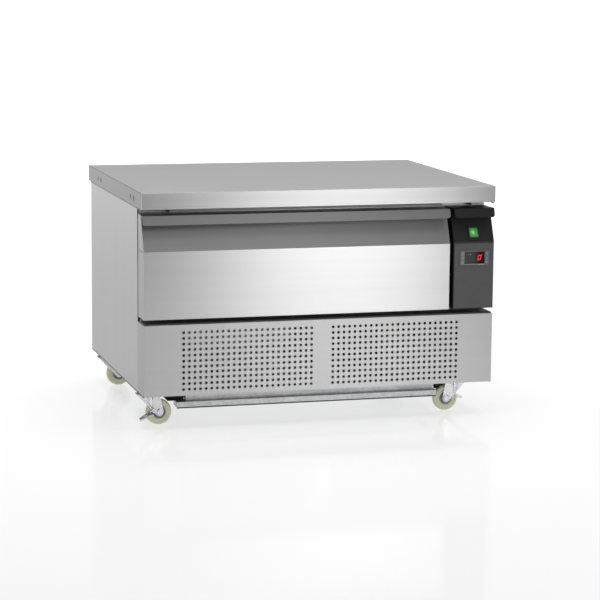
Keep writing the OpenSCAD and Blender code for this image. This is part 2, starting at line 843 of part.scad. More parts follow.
// Rubber seal round the back of the drawer front
module drawer_seal() {
    seal_clear = 0.3;
    x0 = drawer_x0 + seal_inset + 7;
    x1 = drawer_x1 - seal_inset;
    z0 = front_z0 + seal_inset;
    z1 = front_z1 - seal_inset + 4;
    color("black")
    along_y(front_back_y, frame_y - seal_clear)
    difference() {
        translate([x0, z0]) square([x1 - x0, z1 - z0]);
        translate([x0 + seal_w, z0 + seal_w]) square([x1 - x0 - 2 * seal_w, z1 - z0 - 2 * seal_w]);
    }
}

// Folded frame that holds the pans, with windows for the cold air
module drawer_frame() {
    wall = 1.5;
    window_step = (pan_y1 - front_back_y - 92) / 3;
    color("silver")
    difference() {
        union() {
            difference() {
                block(pan_x0, pan_x1, front_back_y, pan_y1, pan_z0, pan_z1);
                block(pan_x0 + wall, pan_x1 - wall, front_back_y + wall, pan_y1 - wall,
                      pan_z0 - 1, pan_z1 + 1);
            }
            difference() {
                block(pan_x0, pan_x1, front_back_y, pan_y1, pan_z1 - wall, pan_z1);
                block(pan_x0 + ledge_w, pan_x1 - ledge_w, front_back_y + ledge_w, pan_y1 - ledge_w,
                      pan_z1 - wall - 1, pan_z1 + 1);
            }
        }
        for (i = [0 : 2])
            translate([0, front_back_y + 60 + i * window_step, 0])
                block(pan_x0 - 1, pan_x1 + 1, 0, window_step - 40, slide_z + slide_h / 2 + 15, pan_z1 - 30);
    }
}

// Bar between the two pans
module drawer_divider() {
    wall = 1.5;
    color("silver") {
        block(pan_mid - divider_w / 2, pan_mid + divider_w / 2, front_back_y + wall, pan_y1 - wall,
              pan_z1 - wall - divider_h, pan_z1 - wall);
        block(pan_mid - divider_w / 2, pan_mid + divider_w / 2, front_back_y + ledge_w,
              pan_y1 - ledge_w, pan_z1 - wall - 1, pan_z1);
    }
}

// A runner channel: its web stands at one distance from the wall and its flanges point to another
function channel(web, tip, half, metal) = let (s = tip > web ? 1 : -1) [
    [web, -half], [tip, -half], [tip, -half + metal], [web + s * metal, -half + metal],
    [web + s * metal, half - metal], [tip, half - metal], [tip, half], [web, half]
];

module runner_pair(web, tip, half) {
    along_y(slide_y0, slide_y1) {
        translate([open_x0, slide_z]) polygon(channel(web, tip, half, slide_t));
        translate([open_x1, slide_z]) mirror([1, 0]) polygon(channel(web, tip, half, slide_t));
    }
}

runner_step = slide_t + slide_clear;

module runner_outer() {
    color("gainsboro") runner_pair(0, slide_w - 3.2, slide_h / 2);
}

module runner_middle() {
    color("lightgray") runner_pair(slide_t + 0.5, slide_w - 2.2, slide_h / 2 - runner_step);
}

module runner_inner() {
    color("silver")
    runner_pair(slide_w, 2 * slide_t + 1.2, slide_h / 2 - 2 * runner_step);
}

// Place of the switch on the slanted face, with -Y out of the face and +Z up the slope
module on_slant() {
    translate([control_mid, switch_y, switch_z]) rotate([-slant_a, 0, 0]) children();
}

module control_cover() {
    color([0.12, 0.12, 0.13]) {
        difference() {
            along_x(control_x0, body_x)
                polygon(front_outline(face_y + fascia_t, 0, frame_y));
            along_x(control_x0 + cover_t, body_x - cover_t)
                polygon(front_outline(face_y + fascia_t, cover_t, frame_y + 1));
            thermostat_cutout();
            on_slant() block(-switch_w / 2 + 1, switch_w / 2 - 1, -5, 10,
                             -switch_h / 2 + 1, switch_h / 2 - 1);
        }
        grip_lip(control_x0 + lip_over, body_x + lip_over, cover_t);
    }
}

// Hole for the thermostat's housing
housing_w = bezel_w - 5.6;
housing_h = bezel_h - 7.8;
module thermostat_cutout() {
    block(control_mid - housing_w / 2 - 0.1, control_mid + housing_w / 2 + 0.1,
          face_y - 1, face_y + 10, bezel_z - housing_h / 2 - 0.1, bezel_z + housing_h / 2 + 0.1);
}

module control_fascia() {
    edge = 1.5;
    color([0.33, 0.33, 0.345])
    difference() {
        block(control_x0 + edge, body_x - 0.3, face_y, face_y + fascia_t,
              front_z0 + edge, crease_z - 0.5);
        thermostat_cutout();
    }
}

module switch_frame() {
    housing_d = 18;
    color([0.08, 0.08, 0.1])
    on_slant() difference() {
        union() {
            block(-switch_w / 2, switch_w / 2, -switch_rise, 0, -switch_h / 2, switch_h / 2);
            block(-switch_w / 2 + 1.1, switch_w / 2 - 1.1, -1, housing_d,
                  -switch_h / 2 + 1.1, switch_h / 2 - 1.1);
        }
        translate([-rocker_w / 2 - 0.3, pivot_in, 0])
            rotate([0, 90, 0]) cylinder(r = rocker_r + 0.3, h = rocker_w + 0.6);
    }
}

// Lit rocker, resting with its upper half pressed
module switch_rocker() {
    valley = 5;
    rim = valley + rocker_r * tan(rocker_tilt);
    color("limegreen")
    on_slant() translate([0, pivot_in, 0]) rotate([-rocker_tilt, 0, 0]) intersection() {
        translate([-rocker_w / 2, 0, 0]) rotate([0, 90, 0]) cylinder(r = rocker_r, h = rocker_w);
        along_x(-rocker_w, rocker_w)
            polygon([[-valley, 0], [-rim, rocker_r], [4, rocker_r], [4, -rocker_r], [-rim, -rocker_r]]);
    }
}

// Pocket of a key or the window, cut from the thermostat's front
module front_pocket(x, z, w, h, depth) {
    block(x - w / 2, x + w / 2, face_y - bezel_rise - 1, face_y - bezel_rise + depth,
          z - h / 2, z + h / 2);
}

module thermostat() {
    housing_d = 58;
    color([0.2, 0.2, 0.21])
    difference() {
        union() {
            block(control_mid - bezel_w / 2, control_mid + bezel_w / 2, face_y - bezel_rise, face_y,
                  bezel_z - bezel_h / 2, bezel_z + bezel_h / 2);
            block(control_mid - housing_w / 2, control_mid + housing_w / 2, face_y - 1,
                  face_y + housing_d, bezel_z - housing_h / 2, bezel_z + housing_h / 2);
        }
        front_pocket(control_mid, bezel_z, window_w, window_h, 1);
        for (x = key_x, row = [-1, 0, 1])
            front_pocket(x, bezel_z + row * key_pitch, key_w + 2 * key_fit, key_h + 2 * key_fit,
                         key_seat);
    }
}

module thermostat_window() {
    edge = 0.1;
    color([0.1, 0.05, 0.05])
    block(control_mid - window_w / 2 + edge, control_mid + window_w / 2 - edge,
          face_y - bezel_rise, face_y - bezel_rise + 1,
          bezel_z - window_h / 2 + edge, bezel_z + window_h / 2 - edge);
}

module key(column, row) {
    z = bezel_z + row * key_pitch;
    color("gray")
    block(key_x[column] - key_w / 2, key_x[column] + key_w / 2,
          face_y - bezel_rise - key_rise, face_y - bezel_rise + key_seat - key_travel - 0.1,
          z - key_h / 2, z + key_h / 2);
}

// Top plates of the castors, each with its race, its kingpin and four bolt heads
module castor_plates() {
    color("gainsboro")
    for (x = [-castor_left, castor_right], y = [castor_yf, castor_yb])
        translate([x, y, 0]) {
            translate([-plate_w / 2, -plate_w / 2, castor_h - plate_t])
                cube([plate_w, plate_w, plate_t]);
            translate([0, 0, race_z]) cylinder(r = 21, h = race_h);
            translate([0, 0, fork_z1 - fork_t - 3.5]) cylinder(r = kingpin_r, h = castor_h - fork_z1);
            translate([0, 0, fork_z1 - fork_t - 3.5]) cylinder(r = kingpin_r + 3, h = 3.2);
            translate([0, 0, fork_z1 - fork_t]) cylinder(r = kingpin_r, h = fork_t + 1);
            for (sx = [-1, 1], sy = [-1, 1])
                translate([sx * (plate_w / 2 - 7), sy * (plate_w / 2 - 7), castor_h - plate_t - 3])
                    cylinder(r = 5, h = 3, $fn = 6);
        }
}

// One cheek of a fork, from its head down to the axle
module cheek() {
    difference() {
        union() {
            polygon([[-fork_half, fork_z1], [fork_half, fork_z1],
                     [trail + 10, axle_z + 2], [trail - 6.5, axle_z - 7.6]]);
            translate([trail, axle_z]) circle(r = 10);
        }
        translate([trail, axle_z]) circle(r = axle_r);
    }
}

// A castor's fork with its axle bolt, and a rivet for the pedal where it has one
module fork(with_pedal) {
    head_h = 4;
    nut_r = 7;
    color("lightsteelblue") {
        difference() {
            union() {
                block(-fork_half, fork_half, -cheek_y, cheek_y, fork_z1 - fork_t, fork_z1);
                along_y(cheek_y, cheek_y + fork_t) cheek();
                along_y(-cheek_y - fork_t, -cheek_y) cheek();
                if (with_pedal)
                    translate([pedal_x, -cheek_y - fork_t + 1, pedal_z])
                        rotate([90, 0, 0]) cylinder(r = 2.5, h = 5.5);
            }
            translate([0, 0, fork_z1 - 2 * fork_t]) cylinder(r = kingpin_r + turn_fit, h = 3 * fork_t);
        }
        translate([trail, 0, axle_z]) rotate([90, 0, 0]) {
            translate([0, 0, -cheek_y - fork_t]) cylinder(r = axle_r, h = 2 * (cheek_y + fork_t));
            for (z = [-cheek_y - fork_t - head_h, cheek_y + fork_t])
                translate([0, 0, z]) cylinder(r = nut_r, h = head_h, $fn = 6);
        }
    }
}

// A wheel about Y: hub with its bore, and a tyre with rounded shoulders
module wheel() {
    hub_r = wheel_d / 2 - 13;
    shoulder = 7;
    side = wheel_w / 2;
    color([0.82, 0.82, 0.62])
    translate([trail, 0, axle_z]) rotate([90, 0, 0]) rotate_extrude($fn = 96) {
        translate([hub_r - 1, -side]) square([wheel_d / 2 - shoulder - hub_r + 1, 2 * side]);
        translate([hub_r, -side + shoulder])
            square([wheel_d / 2 - hub_r, 2 * (side - shoulder)]);
        for (s = [-1, 1])
            translate([wheel_d / 2 - shoulder, s * (side - shoulder)]) circle(r = shoulder);
        translate([axle_r + turn_fit, -side + 3]) square([hub_r - axle_r, 2 * (side - 3)]);
        translate([axle_r + turn_fit, -side - 1]) square([5, 2 * side + 2]);
    }
}

// One-sided brake pedal: an arm on the fork's rivet, and a foot plate
module pedal(raised) {
    arm_y = -cheek_y - fork_t - 0.6;
    arm_t = 3;
    tip = [-24, 17];
    color("silver")
    translate([pedal_x, 0, pedal_z]) rotate([0, raised, 0]) translate([-pedal_x, 0, -pedal_z]) {
        along_y(arm_y - arm_t, arm_y) difference() {
            union() {
                translate([pedal_x, pedal_z]) circle(r = 5.5);
                polygon([[pedal_x - 5.3, pedal_z + 1.5], [pedal_x + 2.4, pedal_z - 4.9],
                         [6, 25], tip, tip + [0, 3], [-12, 28]]);
            }
            translate([pedal_x, pedal_z]) circle(r = 2.5 + turn_fit);
        }
        translate([tip[0], 0, tip[1]]) rotate([0, -12, 0])
            block(0, 19, arm_y - 15, arm_y, 0, 2.5);
    }
}

// Puts a castor's moving pieces at a corner, turned to its heading
module at_castor(x, y, heading) {
    translate([x, y, 0]) rotate([0, 0, heading]) children();
}

worktop();
worktop_core();
side_panel_left();
side_panel_right();
back_panel();
insulation_foam();
inner_liner();
front_frame();
mullion_trim();
grille_panel();
panel_screws();
base_frame();
unit_tray();
compressor();
compressor_feet();
condenser_coil();
condenser_shroud();
condenser_fan_motor();
condenser_fan_blade();
refrigerant_pipes();
evaporation_tray();
drain_tube();
electrical_box();
cable_gland();
evaporator_coil();
evaporator_cover();
evaporator_fan_motor();
evaporator_fan_blade();
control_cover();
control_fascia();
switch_frame();
switch_rocker();
thermostat();
thermostat_window();
key(0, 1);  // key_left_top
key(0, 0);  // key_left_middle
key(0, -1);  // key_left_bottom
key(1, 1);  // key_right_top
key(1, 0);  // key_right_middle
key(1, -1);  // key_right_bottom
runner_outer();
runner_middle();
runner_inner();
drawer_front_skin();
drawer_front_foam();
drawer_front_liner();
drawer_seal();
drawer_frame();
drawer_divider();
castor_plates();
at_castor(-castor_left, castor_yf, 0) fork(true);  // castor_fork_front_left
at_castor(castor_right, castor_yf, 180) fork(true);  // castor_fork_front_right
at_castor(-castor_left, castor_yb, 0) fork(false);  // castor_fork_rear_left
at_castor(castor_right, castor_yb, 180) fork(false);  // castor_fork_rear_right
at_castor(-castor_left, castor_yf, 0) wheel();  // castor_wheel_front_left
at_castor(castor_right, castor_yf, 180) wheel();  // castor_wheel_front_right
at_castor(-castor_left, castor_yb, 0) wheel();  // castor_wheel_rear_left
at_castor(castor_right, castor_yb, 180) wheel();  // castor_wheel_rear_right
at_castor(-castor_left, castor_yf, 0) pedal(0);  // brake_pedal_left
at_castor(castor_right, castor_yf, 180) pedal(12);  // brake_pedal_right
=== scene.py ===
# %% [markdown]
# # Dressing a low refrigerated counter
# The counter is a steel cabinet on four castors, with one wide drawer, a perforated panel in front of
# its cooling machine and a black control cover at the right. Its solids come from a CAD model. This
# script leaves their places alone and gives them edges, finishes and the small forms that CAD leaves plain.

import bpy
import bmesh
import json
import math
from mathutils import Matrix, Vector


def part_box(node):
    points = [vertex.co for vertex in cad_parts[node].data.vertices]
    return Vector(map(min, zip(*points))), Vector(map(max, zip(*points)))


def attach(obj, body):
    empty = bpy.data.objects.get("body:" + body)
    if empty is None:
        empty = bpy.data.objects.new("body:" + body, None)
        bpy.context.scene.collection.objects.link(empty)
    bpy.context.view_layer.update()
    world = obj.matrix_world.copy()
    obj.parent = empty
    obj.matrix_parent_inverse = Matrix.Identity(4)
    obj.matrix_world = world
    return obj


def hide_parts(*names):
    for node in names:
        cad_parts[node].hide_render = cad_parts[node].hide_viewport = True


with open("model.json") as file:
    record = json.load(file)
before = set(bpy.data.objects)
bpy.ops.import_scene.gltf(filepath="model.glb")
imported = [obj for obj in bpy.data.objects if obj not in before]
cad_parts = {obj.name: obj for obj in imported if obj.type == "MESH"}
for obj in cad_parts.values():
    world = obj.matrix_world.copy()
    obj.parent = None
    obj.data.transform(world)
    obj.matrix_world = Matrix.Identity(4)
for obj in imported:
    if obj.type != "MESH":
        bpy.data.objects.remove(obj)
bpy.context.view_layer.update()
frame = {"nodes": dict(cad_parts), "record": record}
solids = frame["nodes"]

# %% [markdown]
# The camera stands low and to the left of the counter, about six metres away, with a long lens. A long
# lens keeps the worktop's edges nearly parallel, as product pictures like it. Its place could be found
# by eye, but it was worked out from the corners of the worktop, the drawer and the grille.

# %% Camera
view = bpy.data.cameras.new("view")
view.lens = 133.9
view.sensor_width = 36
view.shift_x = -0.05
camera = bpy.data.objects.new("camera", view)
bpy.context.scene.collection.objects.link(camera)
turn, rise, lean = map(math.radians, (-16.48, 9.05, 0.62))
aim = Vector((0.1252, 0.005, 0.2487))
distance = 5.863
back = Vector((math.sin(turn) * math.cos(rise), -math.cos(turn) * math.cos(rise), math.sin(rise)))
camera.matrix_world = (
    Matrix.Translation(aim + back * distance)
    @ back.to_track_quat("Z", "Y").to_matrix().to_4x4()
    @ Matrix.Rotation(lean, 4, "Z")
)
bpy.context.scene.camera = camera
print("camera at", [round(x, 3) for x in camera.matrix_world.translation])

# %% [markdown]
# Steel shows its surroundings more than its own colour, so the studio is part of the finish. The room is
# white near the horizon and grey overhead, which keeps slanted steel darker than upright steel. Plain
# grey all round would be simpler, but then every sheet would have the same tone. The room is drawn by
# the height of each direction alone, so it looks the same from every side.

# %% Room
scene = bpy.context.scene
scene.view_settings.view_transform = "Standard"
room = bpy.data.worlds.new("room")
scene.world = room
room.use_nodes = True
sky = room.node_tree.nodes
wires = room.node_tree.links
heading = sky.new("ShaderNodeTexCoord")
split_heading = sky.new("ShaderNodeSeparateXYZ")
wires.new(heading.outputs["Generated"], split_heading.inputs["Vector"])
dome = sky.new("ShaderNodeValToRGB")
from_below = sky.new("ShaderNodeMapRange")
from_below.inputs["From Min"].default_value = -1.0
wires.new(split_heading.outputs["Z"], from_below.inputs["Value"])
wires.new(from_below.outputs["Result"], dome.inputs["Fac"])


def fill_ramp(ramp, tones):
    while len(ramp.color_ramp.elements) < len(tones):
        ramp.color_ramp.elements.new(0.5)
    for stop, (where, colour) in zip(ramp.color_ramp.elements, tones):
        stop.position = where
        stop.color = (*colour, 1)


room_tones = ((0.0, 0.3), (0.44, 0.4), (0.49, 1.0), (0.5, 1.0), (0.57, 0.86), (0.65, 0.3), (0.775, 0.22),
              (1.0, 0.3))
fill_ramp(dome, [(height, (tone, tone, tone)) for height, tone in room_tones])
wires.new(dome.outputs["Color"], sky["Background"].inputs["Color"])
sky["Background"].inputs["Strength"].default_value = 1.0
print("room tones, from straight down to straight up:", room_tones)

# %% [markdown]
# A large soft box overhead lights the floor and the tops. A standing one at the right front is what the
# fronts mirror as their bright side. Soft boxes are area lamps: the larger the lamp, the softer its
# shadow. The floor is white paper that is lit from below too, as on a light table, so that hardly any
# shadow stays. Its thin gloss gives the faint mirror image under the castors. The glow grows further
# out, as the paper's sweep does, and it doesn't light the object's underside.

# %% Lamps
def soft_box(name, place, target, width, height, watts):
    lamp = bpy.data.lights.new(name, "AREA")
    lamp.shape = "RECTANGLE"
    lamp.size, lamp.size_y, lamp.energy = width, height, watts
    box = bpy.data.objects.new(name, lamp)
    scene.collection.objects.link(box)
    aim_way = Vector(place) - Vector(target)
    box.matrix_world = Matrix.Translation(place) @ aim_way.to_track_quat("Z", "Y").to_matrix().to_4x4()
    box.visible_camera = False
    return box


soft_box("overhead", place=(0, 0.5, 4.2), target=(0, 0.5, 0), width=5.0, height=5.0, watts=190)
soft_box("right_front", place=(0.94, -3.3, 0.55), target=(0.25, -0.35, 0.6), width=0.78, height=0.8,
         watts=8.2)

# %% [markdown]
# The paper reaches so far that its edge never shows. Its glow starts even and rises between two and a half
# and seven metres from the middle.

# %% Glowing floor
def sheet_of(name, corners, tone, glow=0.0, roughness=0.8, ior=1.3):
    mesh = bpy.data.meshes.new(name)
    mesh.from_pydata(corners, [], [(0, 1, 2, 3)])
    sheet = bpy.data.objects.new(name, mesh)
    scene.collection.objects.link(sheet)
    paint = bpy.data.materials.new(name)
    paint.use_nodes = True
    shader = paint.node_tree.nodes["Principled BSDF"]
    shader.inputs["Base Color"].default_value = (tone, tone, tone, 1)
    shader.inputs["Roughness"].default_value = roughness
    shader.inputs["IOR"].default_value = ior
    shader.inputs["Emission Color"].default_value = (1, 1, 1, 1)
    shader.inputs["Emission Strength"].default_value = glow
    mesh.materials.append(paint)
    return sheet


def lying(left, right, near, far, height):
    return [(left, near, height), (right, near, height), (right, far, height), (left, far, height)]


reach = 40
glow_near, glow_far = 0.62, 1.0
floor = sheet_of("floor", lying(-reach, reach, -reach, reach, 0), tone=0.35, glow=glow_near, roughness=0.1,
                 ior=1.16)
floor.visible_diffuse = False
paper = floor.data.materials[0].node_tree
from_middle = paper.nodes.new("ShaderNodeVectorMath")
from_middle.operation = "LENGTH"
whiter = paper.nodes.new("ShaderNodeMapRange")
for socket, number in (("From Min", 2.5), ("From Max", 7.0), ("To Min", glow_near), ("To Max", glow_far)):
    whiter.inputs[socket].default_value = number
paper.links.new(paper.nodes.new("ShaderNodeTexCoord").outputs["Object"], from_middle.inputs[0])
paper.links.new(from_middle.outputs["Value"], whiter.inputs["Value"])
paper.links.new(whiter.outputs["Result"], paper.nodes["Principled BSDF"].inputs["Emission Strength"])
print("floor:", 2 * reach, "m across")

# %% [markdown]
# Photographers also hang grey cards where only the steel sees them. Polished sheet without a dark side
# looks like paper. Two cards lie on the floor in front, one stands at each side and one hangs at the upper
# right. They show in reflections alone, so they cast no shadow and stay out of every view.

# %% Grey cards
def standing(left, right, place, bottom, top):
    return [(left, place, bottom), (right, place, bottom), (right, place, top), (left, place, top)]


cards = [
    sheet_of("card_on_floor", lying(-2, 3.4, near=-5.6, far=-2.3, height=0.01), tone=0.4),
    sheet_of("card_at_left", standing(-0.9, 0.42, place=-3.9, bottom=0, top=1.9), tone=0.06),
    sheet_of("card_at_right", standing(1.04, 2.2, place=-2.2, bottom=0, top=1.3), tone=0.08),
    sheet_of("card_low_right", lying(1.0, 2.2, near=-2.2, far=-1.1, height=0.012), tone=0.2),
    sheet_of("card_high_right", standing(0.86, 2.4, place=-2.6, bottom=1.45, top=3.1), tone=0.03),
]
for card in cards:
    card.visible_camera = False
    card.visible_shadow = False
    card.visible_diffuse = False
print("cards:", [card.name for card in cards])

# %% [markdown]
# Each finish is a small tree of nodes. The helper below makes the tree's start: the shader, and the
# place of each point in metres, so that grain and specks keep their real size on every piece.

# %% Start of a finish
finishes = {}


class Finish:
    def __init__(self, name, colour, roughness, metal=0.0):
        self.material = bpy.data.materials.new(name)
        self.material.use_nodes = True
        self.material.diffuse_color = (*colour, 1)
        self.nodes = self.material.node_tree.nodes
        self.links = self.material.node_tree.links
        self.shader = self.nodes["Principled BSDF"]
        self.set("Base Color", (*colour, 1))
        self.set("Roughness", roughness)
        self.set("Metallic", metal)
        self.place = self.nodes.new("ShaderNodeTexCoord").outputs["Object"]
        finishes[name] = self

    def set(self, socket, value):
        self.shader.inputs[socket].default_value = value

    def noise(self, stretch, detail=3.0, roughness=0.5):
        grid = self.nodes.new("ShaderNodeMapping")
        grid.inputs["Scale"].default_value = stretch
        self.links.new(self.place, grid.inputs["Vector"])
        cloud = self.nodes.new("ShaderNodeTexNoise")
        cloud.inputs["Scale"].default_value = 1.0
        cloud.inputs["Detail"].default_value = detail
        cloud.inputs["Roughness"].default_value = roughness
        self.links.new(grid.outputs["Vector"], cloud.inputs["Vector"])
        return cloud.outputs["Fac"]

    def spread(self, value, low, high, start=0.3, end=0.7):
        ramp = self.nodes.new("ShaderNodeMapRange")
        for socket, number in (("From Min", start), ("From Max", end), ("To Min", low), ("To Max", high)):
            ramp.inputs[socket].default_value = number
        self.links.new(value, ramp.inputs["Value"])
        return ramp.outputs["Result"]

    def tint(self, value, dark, light):
        mix = self.nodes.new("ShaderNodeMix")
        mix.data_type = "RGBA"
        mix.inputs["A"].default_value = (*dark, 1)
        mix.inputs["B"].default_value = (*light, 1)
        self.links.new(value, mix.inputs["Factor"])
        self.links.new(mix.outputs["Result"], self.shader.inputs["Base Color"])

    def rough(self, value):
        self.links.new(value, self.shader.inputs["Roughness"])

    def bump(self, value, depth, strength=1.0):
        relief = self.nodes.new("ShaderNodeBump")
        relief.inputs["Strength"].default_value = strength
        relief.inputs["Distance"].default_value = depth
        self.links.new(value, relief.inputs["Height"])
        self.links.new(relief.outputs["Normal"], self.shader.inputs["Normal"])


# %% [markdown]
# Brushed stainless steel has fine scratches that all run one way. They blur a reflection across the
# scratches and keep it sharper along them, which the shader calls anisotropy. A picture of scratches
# would need to be mapped, so stretched noise draws them instead: long along the grain, a fraction of a
# millimetre across.

# %% Brushed steel
along_x, along_y, along_z = 0, 1, 2


def brushed_steel(name, grey, roughness, grain, blur=0.7, edge=1.0):
    colour = (grey, grey, grey)
    steel = Finish(name, colour, roughness, 1.0)
    steel.set("Specular Tint", (edge, edge, edge, 1))
    scratch_scale = [2600.0] * 3
    scratch_scale[grain] = 9.0
    cloud_scale = [70.0] * 3
    cloud_scale[grain] = 1.2
    scratches = steel.noise(scratch_scale, 2.0, 0.6)
    clouds = steel.noise(cloud_scale, 3.0, 0.5)
    dark = tuple(c * 0.965 for c in colour)
    steel.tint(steel.spread(clouds, 0, 1), dark, colour)
    steel.rough(steel.spread(scratches, roughness * 0.92, roughness * 1.08))
    steel.bump(scratches, 0.00002, 0.12)
    steel.set("Anisotropic", blur)
    steel.set("Anisotropic Rotation", 0.25)
    along = steel.nodes.new("ShaderNodeCombineXYZ")
    along.inputs["XYZ"[grain]].default_value = 1.0
    steel.links.new(along.outputs["Vector"], steel.shader.inputs["Tangent"])
    return steel


# %% [markdown]
# One sheet of steel would do for a real counter. Here each face has its own grey and its own grain, and the
# greys are painted light and shade: lighter and darker copies of one steel for how the lights fall on each
# face.
# A narrow face that is seen almost along its surface mirrors nearly everything, whatever its colour, and only
# a darker tint of its edge reflection, which is painted shade too, can tone it down.

# %% Steels by face
brushed_steel("steel_front", 0.52, 0.30, along_x)
brushed_steel("steel_grip_shaded", 0.45, 0.30, along_x)
brushed_steel("steel_panel", 0.46, 0.4, along_x, blur=0.5)
brushed_steel("steel_top", 0.47, 0.33, along_x)
brushed_steel("steel_lip_shaded", 0.28, 0.33, along_y, edge=0.66)
brushed_steel("steel_return", 0.33, 0.33, along_z, edge=0.95)
# Painted shade: the darkest steel, for folds and the grille's hole walls; it also colours weld marks and
# seams.
brushed_steel("steel_shade_and_marks", 0.06, 0.4, along_x, edge=0.35)
brushed_steel("steel_side", 0.42, 0.36, along_z, blur=0.6, edge=0.92)
# The inside steel is also a painted highlight on the worktop's front corners.
brushed_steel("steel_inside_and_highlight", 0.66, 0.3, along_y, blur=0.4)
print("steels:", len(finishes))

# %% [markdown]
# The hidden sheet is galvanised: zinc grows in flat crystals of a few millimetres, each with its own
# sheen. Voronoi cells give the crystals. Small castor parts are zinc plated, which is brighter and even.

# %% Zinc
def zinc(name, colour, cell, roughness):
    coat = Finish(name, colour, roughness, 1.0)
    crystals = coat.nodes.new("ShaderNodeTexVoronoi")
    crystals.inputs["Scale"].default_value = 1.0 / cell
    coat.links.new(coat.place, crystals.inputs["Vector"])
    split = coat.nodes.new("ShaderNodeSeparateColor")
    coat.links.new(crystals.outputs["Color"], split.inputs["Color"])
    coat.tint(split.outputs["Red"], tuple(c * 0.88 for c in colour), colour)
    coat.rough(coat.spread(split.outputs["Green"], roughness * 0.85, roughness * 1.2, 0, 1))
    coat.bump(coat.noise((900, 900, 900)), 0.00002, 0.2)
    return coat


zinc("zinc_sheet", (0.49, 0.5, 0.51), cell=0.006, roughness=0.42)
zinc("zinc_plate", (0.6, 0.61, 0.62), cell=0.0012, roughness=0.3)
print("finishes so far:", len(finishes))

# %% [markdown]
# The control cover is moulded plastic. A mould's wall is etched with a fine texture, so the skin has
# grains of about half a millimetre and a soft shine. Rubber is duller, and the tyres are a cream
# polyurethane that lets a little light into its surface.

# %% Plastics and rubber
def moulded(name, colour, roughness, grain=1800.0, depth=0.00004):
    skin = Finish(name, colour, roughness)
    specks = skin.noise((grain, grain, grain), 2.0)
    skin.tint(skin.spread(skin.noise((40, 40, 40)), 0, 1), tuple(c * 0.9 for c in colour), colour)
    skin.rough(skin.spread(specks, roughness * 0.9, roughness * 1.12))
    skin.bump(specks, depth, 0.35)
    return skin


moulded("cover_black", (0.012, 0.012, 0.013), 0.45)
moulded("fascia_grey", (0.097, 0.097, 0.1), 0.5)
moulded("bezel_black", (0.012, 0.012, 0.014), 0.4)
moulded("bezel_grey", (0.14, 0.14, 0.15), 0.45)
moulded("key_face", (0.27, 0.27, 0.275), 0.4)
moulded("key_cool", (0.2, 0.205, 0.235), 0.4)
moulded("box_grey", (0.3, 0.3, 0.31), 0.55)
moulded("pale_plastic", (0.72, 0.72, 0.7), 0.45)
moulded("fan_black", (0.03, 0.03, 0.03), 0.45)
moulded("rubber", (0.02, 0.02, 0.02), 0.75, grain=900, depth=0.0001)
# This dark grey is rubber for the drawer stops and painted shade for the dark strips at the joints.
moulded("stop_rubber_and_shade", (0.07, 0.07, 0.07), 0.5, grain=900, depth=0.00006)
# This pale grey is a painted highlight: the beads that stand for lines of light on the frame.
moulded("highlight_grey", (0.62, 0.62, 0.62), 0.4)
moulded("foam", (0.78, 0.68, 0.4), 0.9, grain=700, depth=0.0004)
moulded("board", (0.2, 0.19, 0.18), 0.8, grain=300, depth=0.0003)
moulded("compressor_black", (0.012, 0.012, 0.013), 0.3, grain=500, depth=0.00005)
tyre = moulded("tyre_cream", (0.97, 0.95, 0.68), 0.33)
tyre.set("Subsurface Weight", 0.35)
tyre.set("Subsurface Radius", (0.004, 0.004, 0.002))
tyre.set("Subsurface Scale", 1.0)
print("finishes so far:", len(finishes))

# %% [markdown]
# Fins and fan blades are aluminium, and the tubes are copper with the darker stains that brazing heat
# leaves. Both are metals with a slightly cloudy surface.

# %% Aluminium and copper
def cloudy_metal(name, dark, light, roughness, cloud):
    metal = Finish(name, light, roughness, 1.0)
    stain = metal.noise((cloud, cloud, cloud), 4.0)
    metal.tint(metal.spread(stain, 0, 1), dark, light)
    metal.rough(metal.spread(stain, roughness * 1.2, roughness * 0.85))
    return metal


cloudy_metal("aluminium", (0.6, 0.61, 0.62), (0.78, 0.79, 0.8), roughness=0.32, cloud=60)
cloudy_metal("copper", (0.42, 0.2, 0.12), (0.8, 0.46, 0.3), roughness=0.3, cloud=30)
print("finishes so far:", len(finishes))

# %% [markdown]
# The display window is smoked gloss plastic, a little hazier towards its left end. The figure and the small
# lamps behind it shine by themselves.

# %% Window
window = Finish("window_dark", (0.01, 0.009, 0.009), 0.06)
window.bump(window.noise((60, 60, 60)), 0.00001, 0.1)
across = window.nodes.new("ShaderNodeSeparateXYZ")
window.links.new(window.place, across.inputs["Vector"])
hazy_until, clear_from = 0.392, 0.408
haze = window.spread(across.outputs["X"], 1, 0, hazy_until, clear_from)
window.tint(haze, (0.02, 0.018, 0.019), (0.085, 0.085, 0.092))
for name, colour, power in (
    ("digit_red", (0.85, 0.02, 0.025), 0.62),
    ("lamp_amber", (0.3, 0.38, 0.06), 0.6),
    ("mark_white", (0.2, 0.5, 0.2), 0.3),
):
    glow = Finish(name, colour, 0.3)
    glow.set("Emission Color", (*colour, 1))
    glow.set("Emission Strength", power)
    glow.bump(glow.noise((400, 400, 400)), 0.00001, 0.2)
print("finishes so far:", len(finishes))

# %% [markdown]
# The rocker is green plastic with a small lamp inside. It is brightest in front of the lamp, so its glow
# falls off with the distance from it. A lamp object behind thin plastic could do this too, but it would
# be slow to render and would light the frame as well.

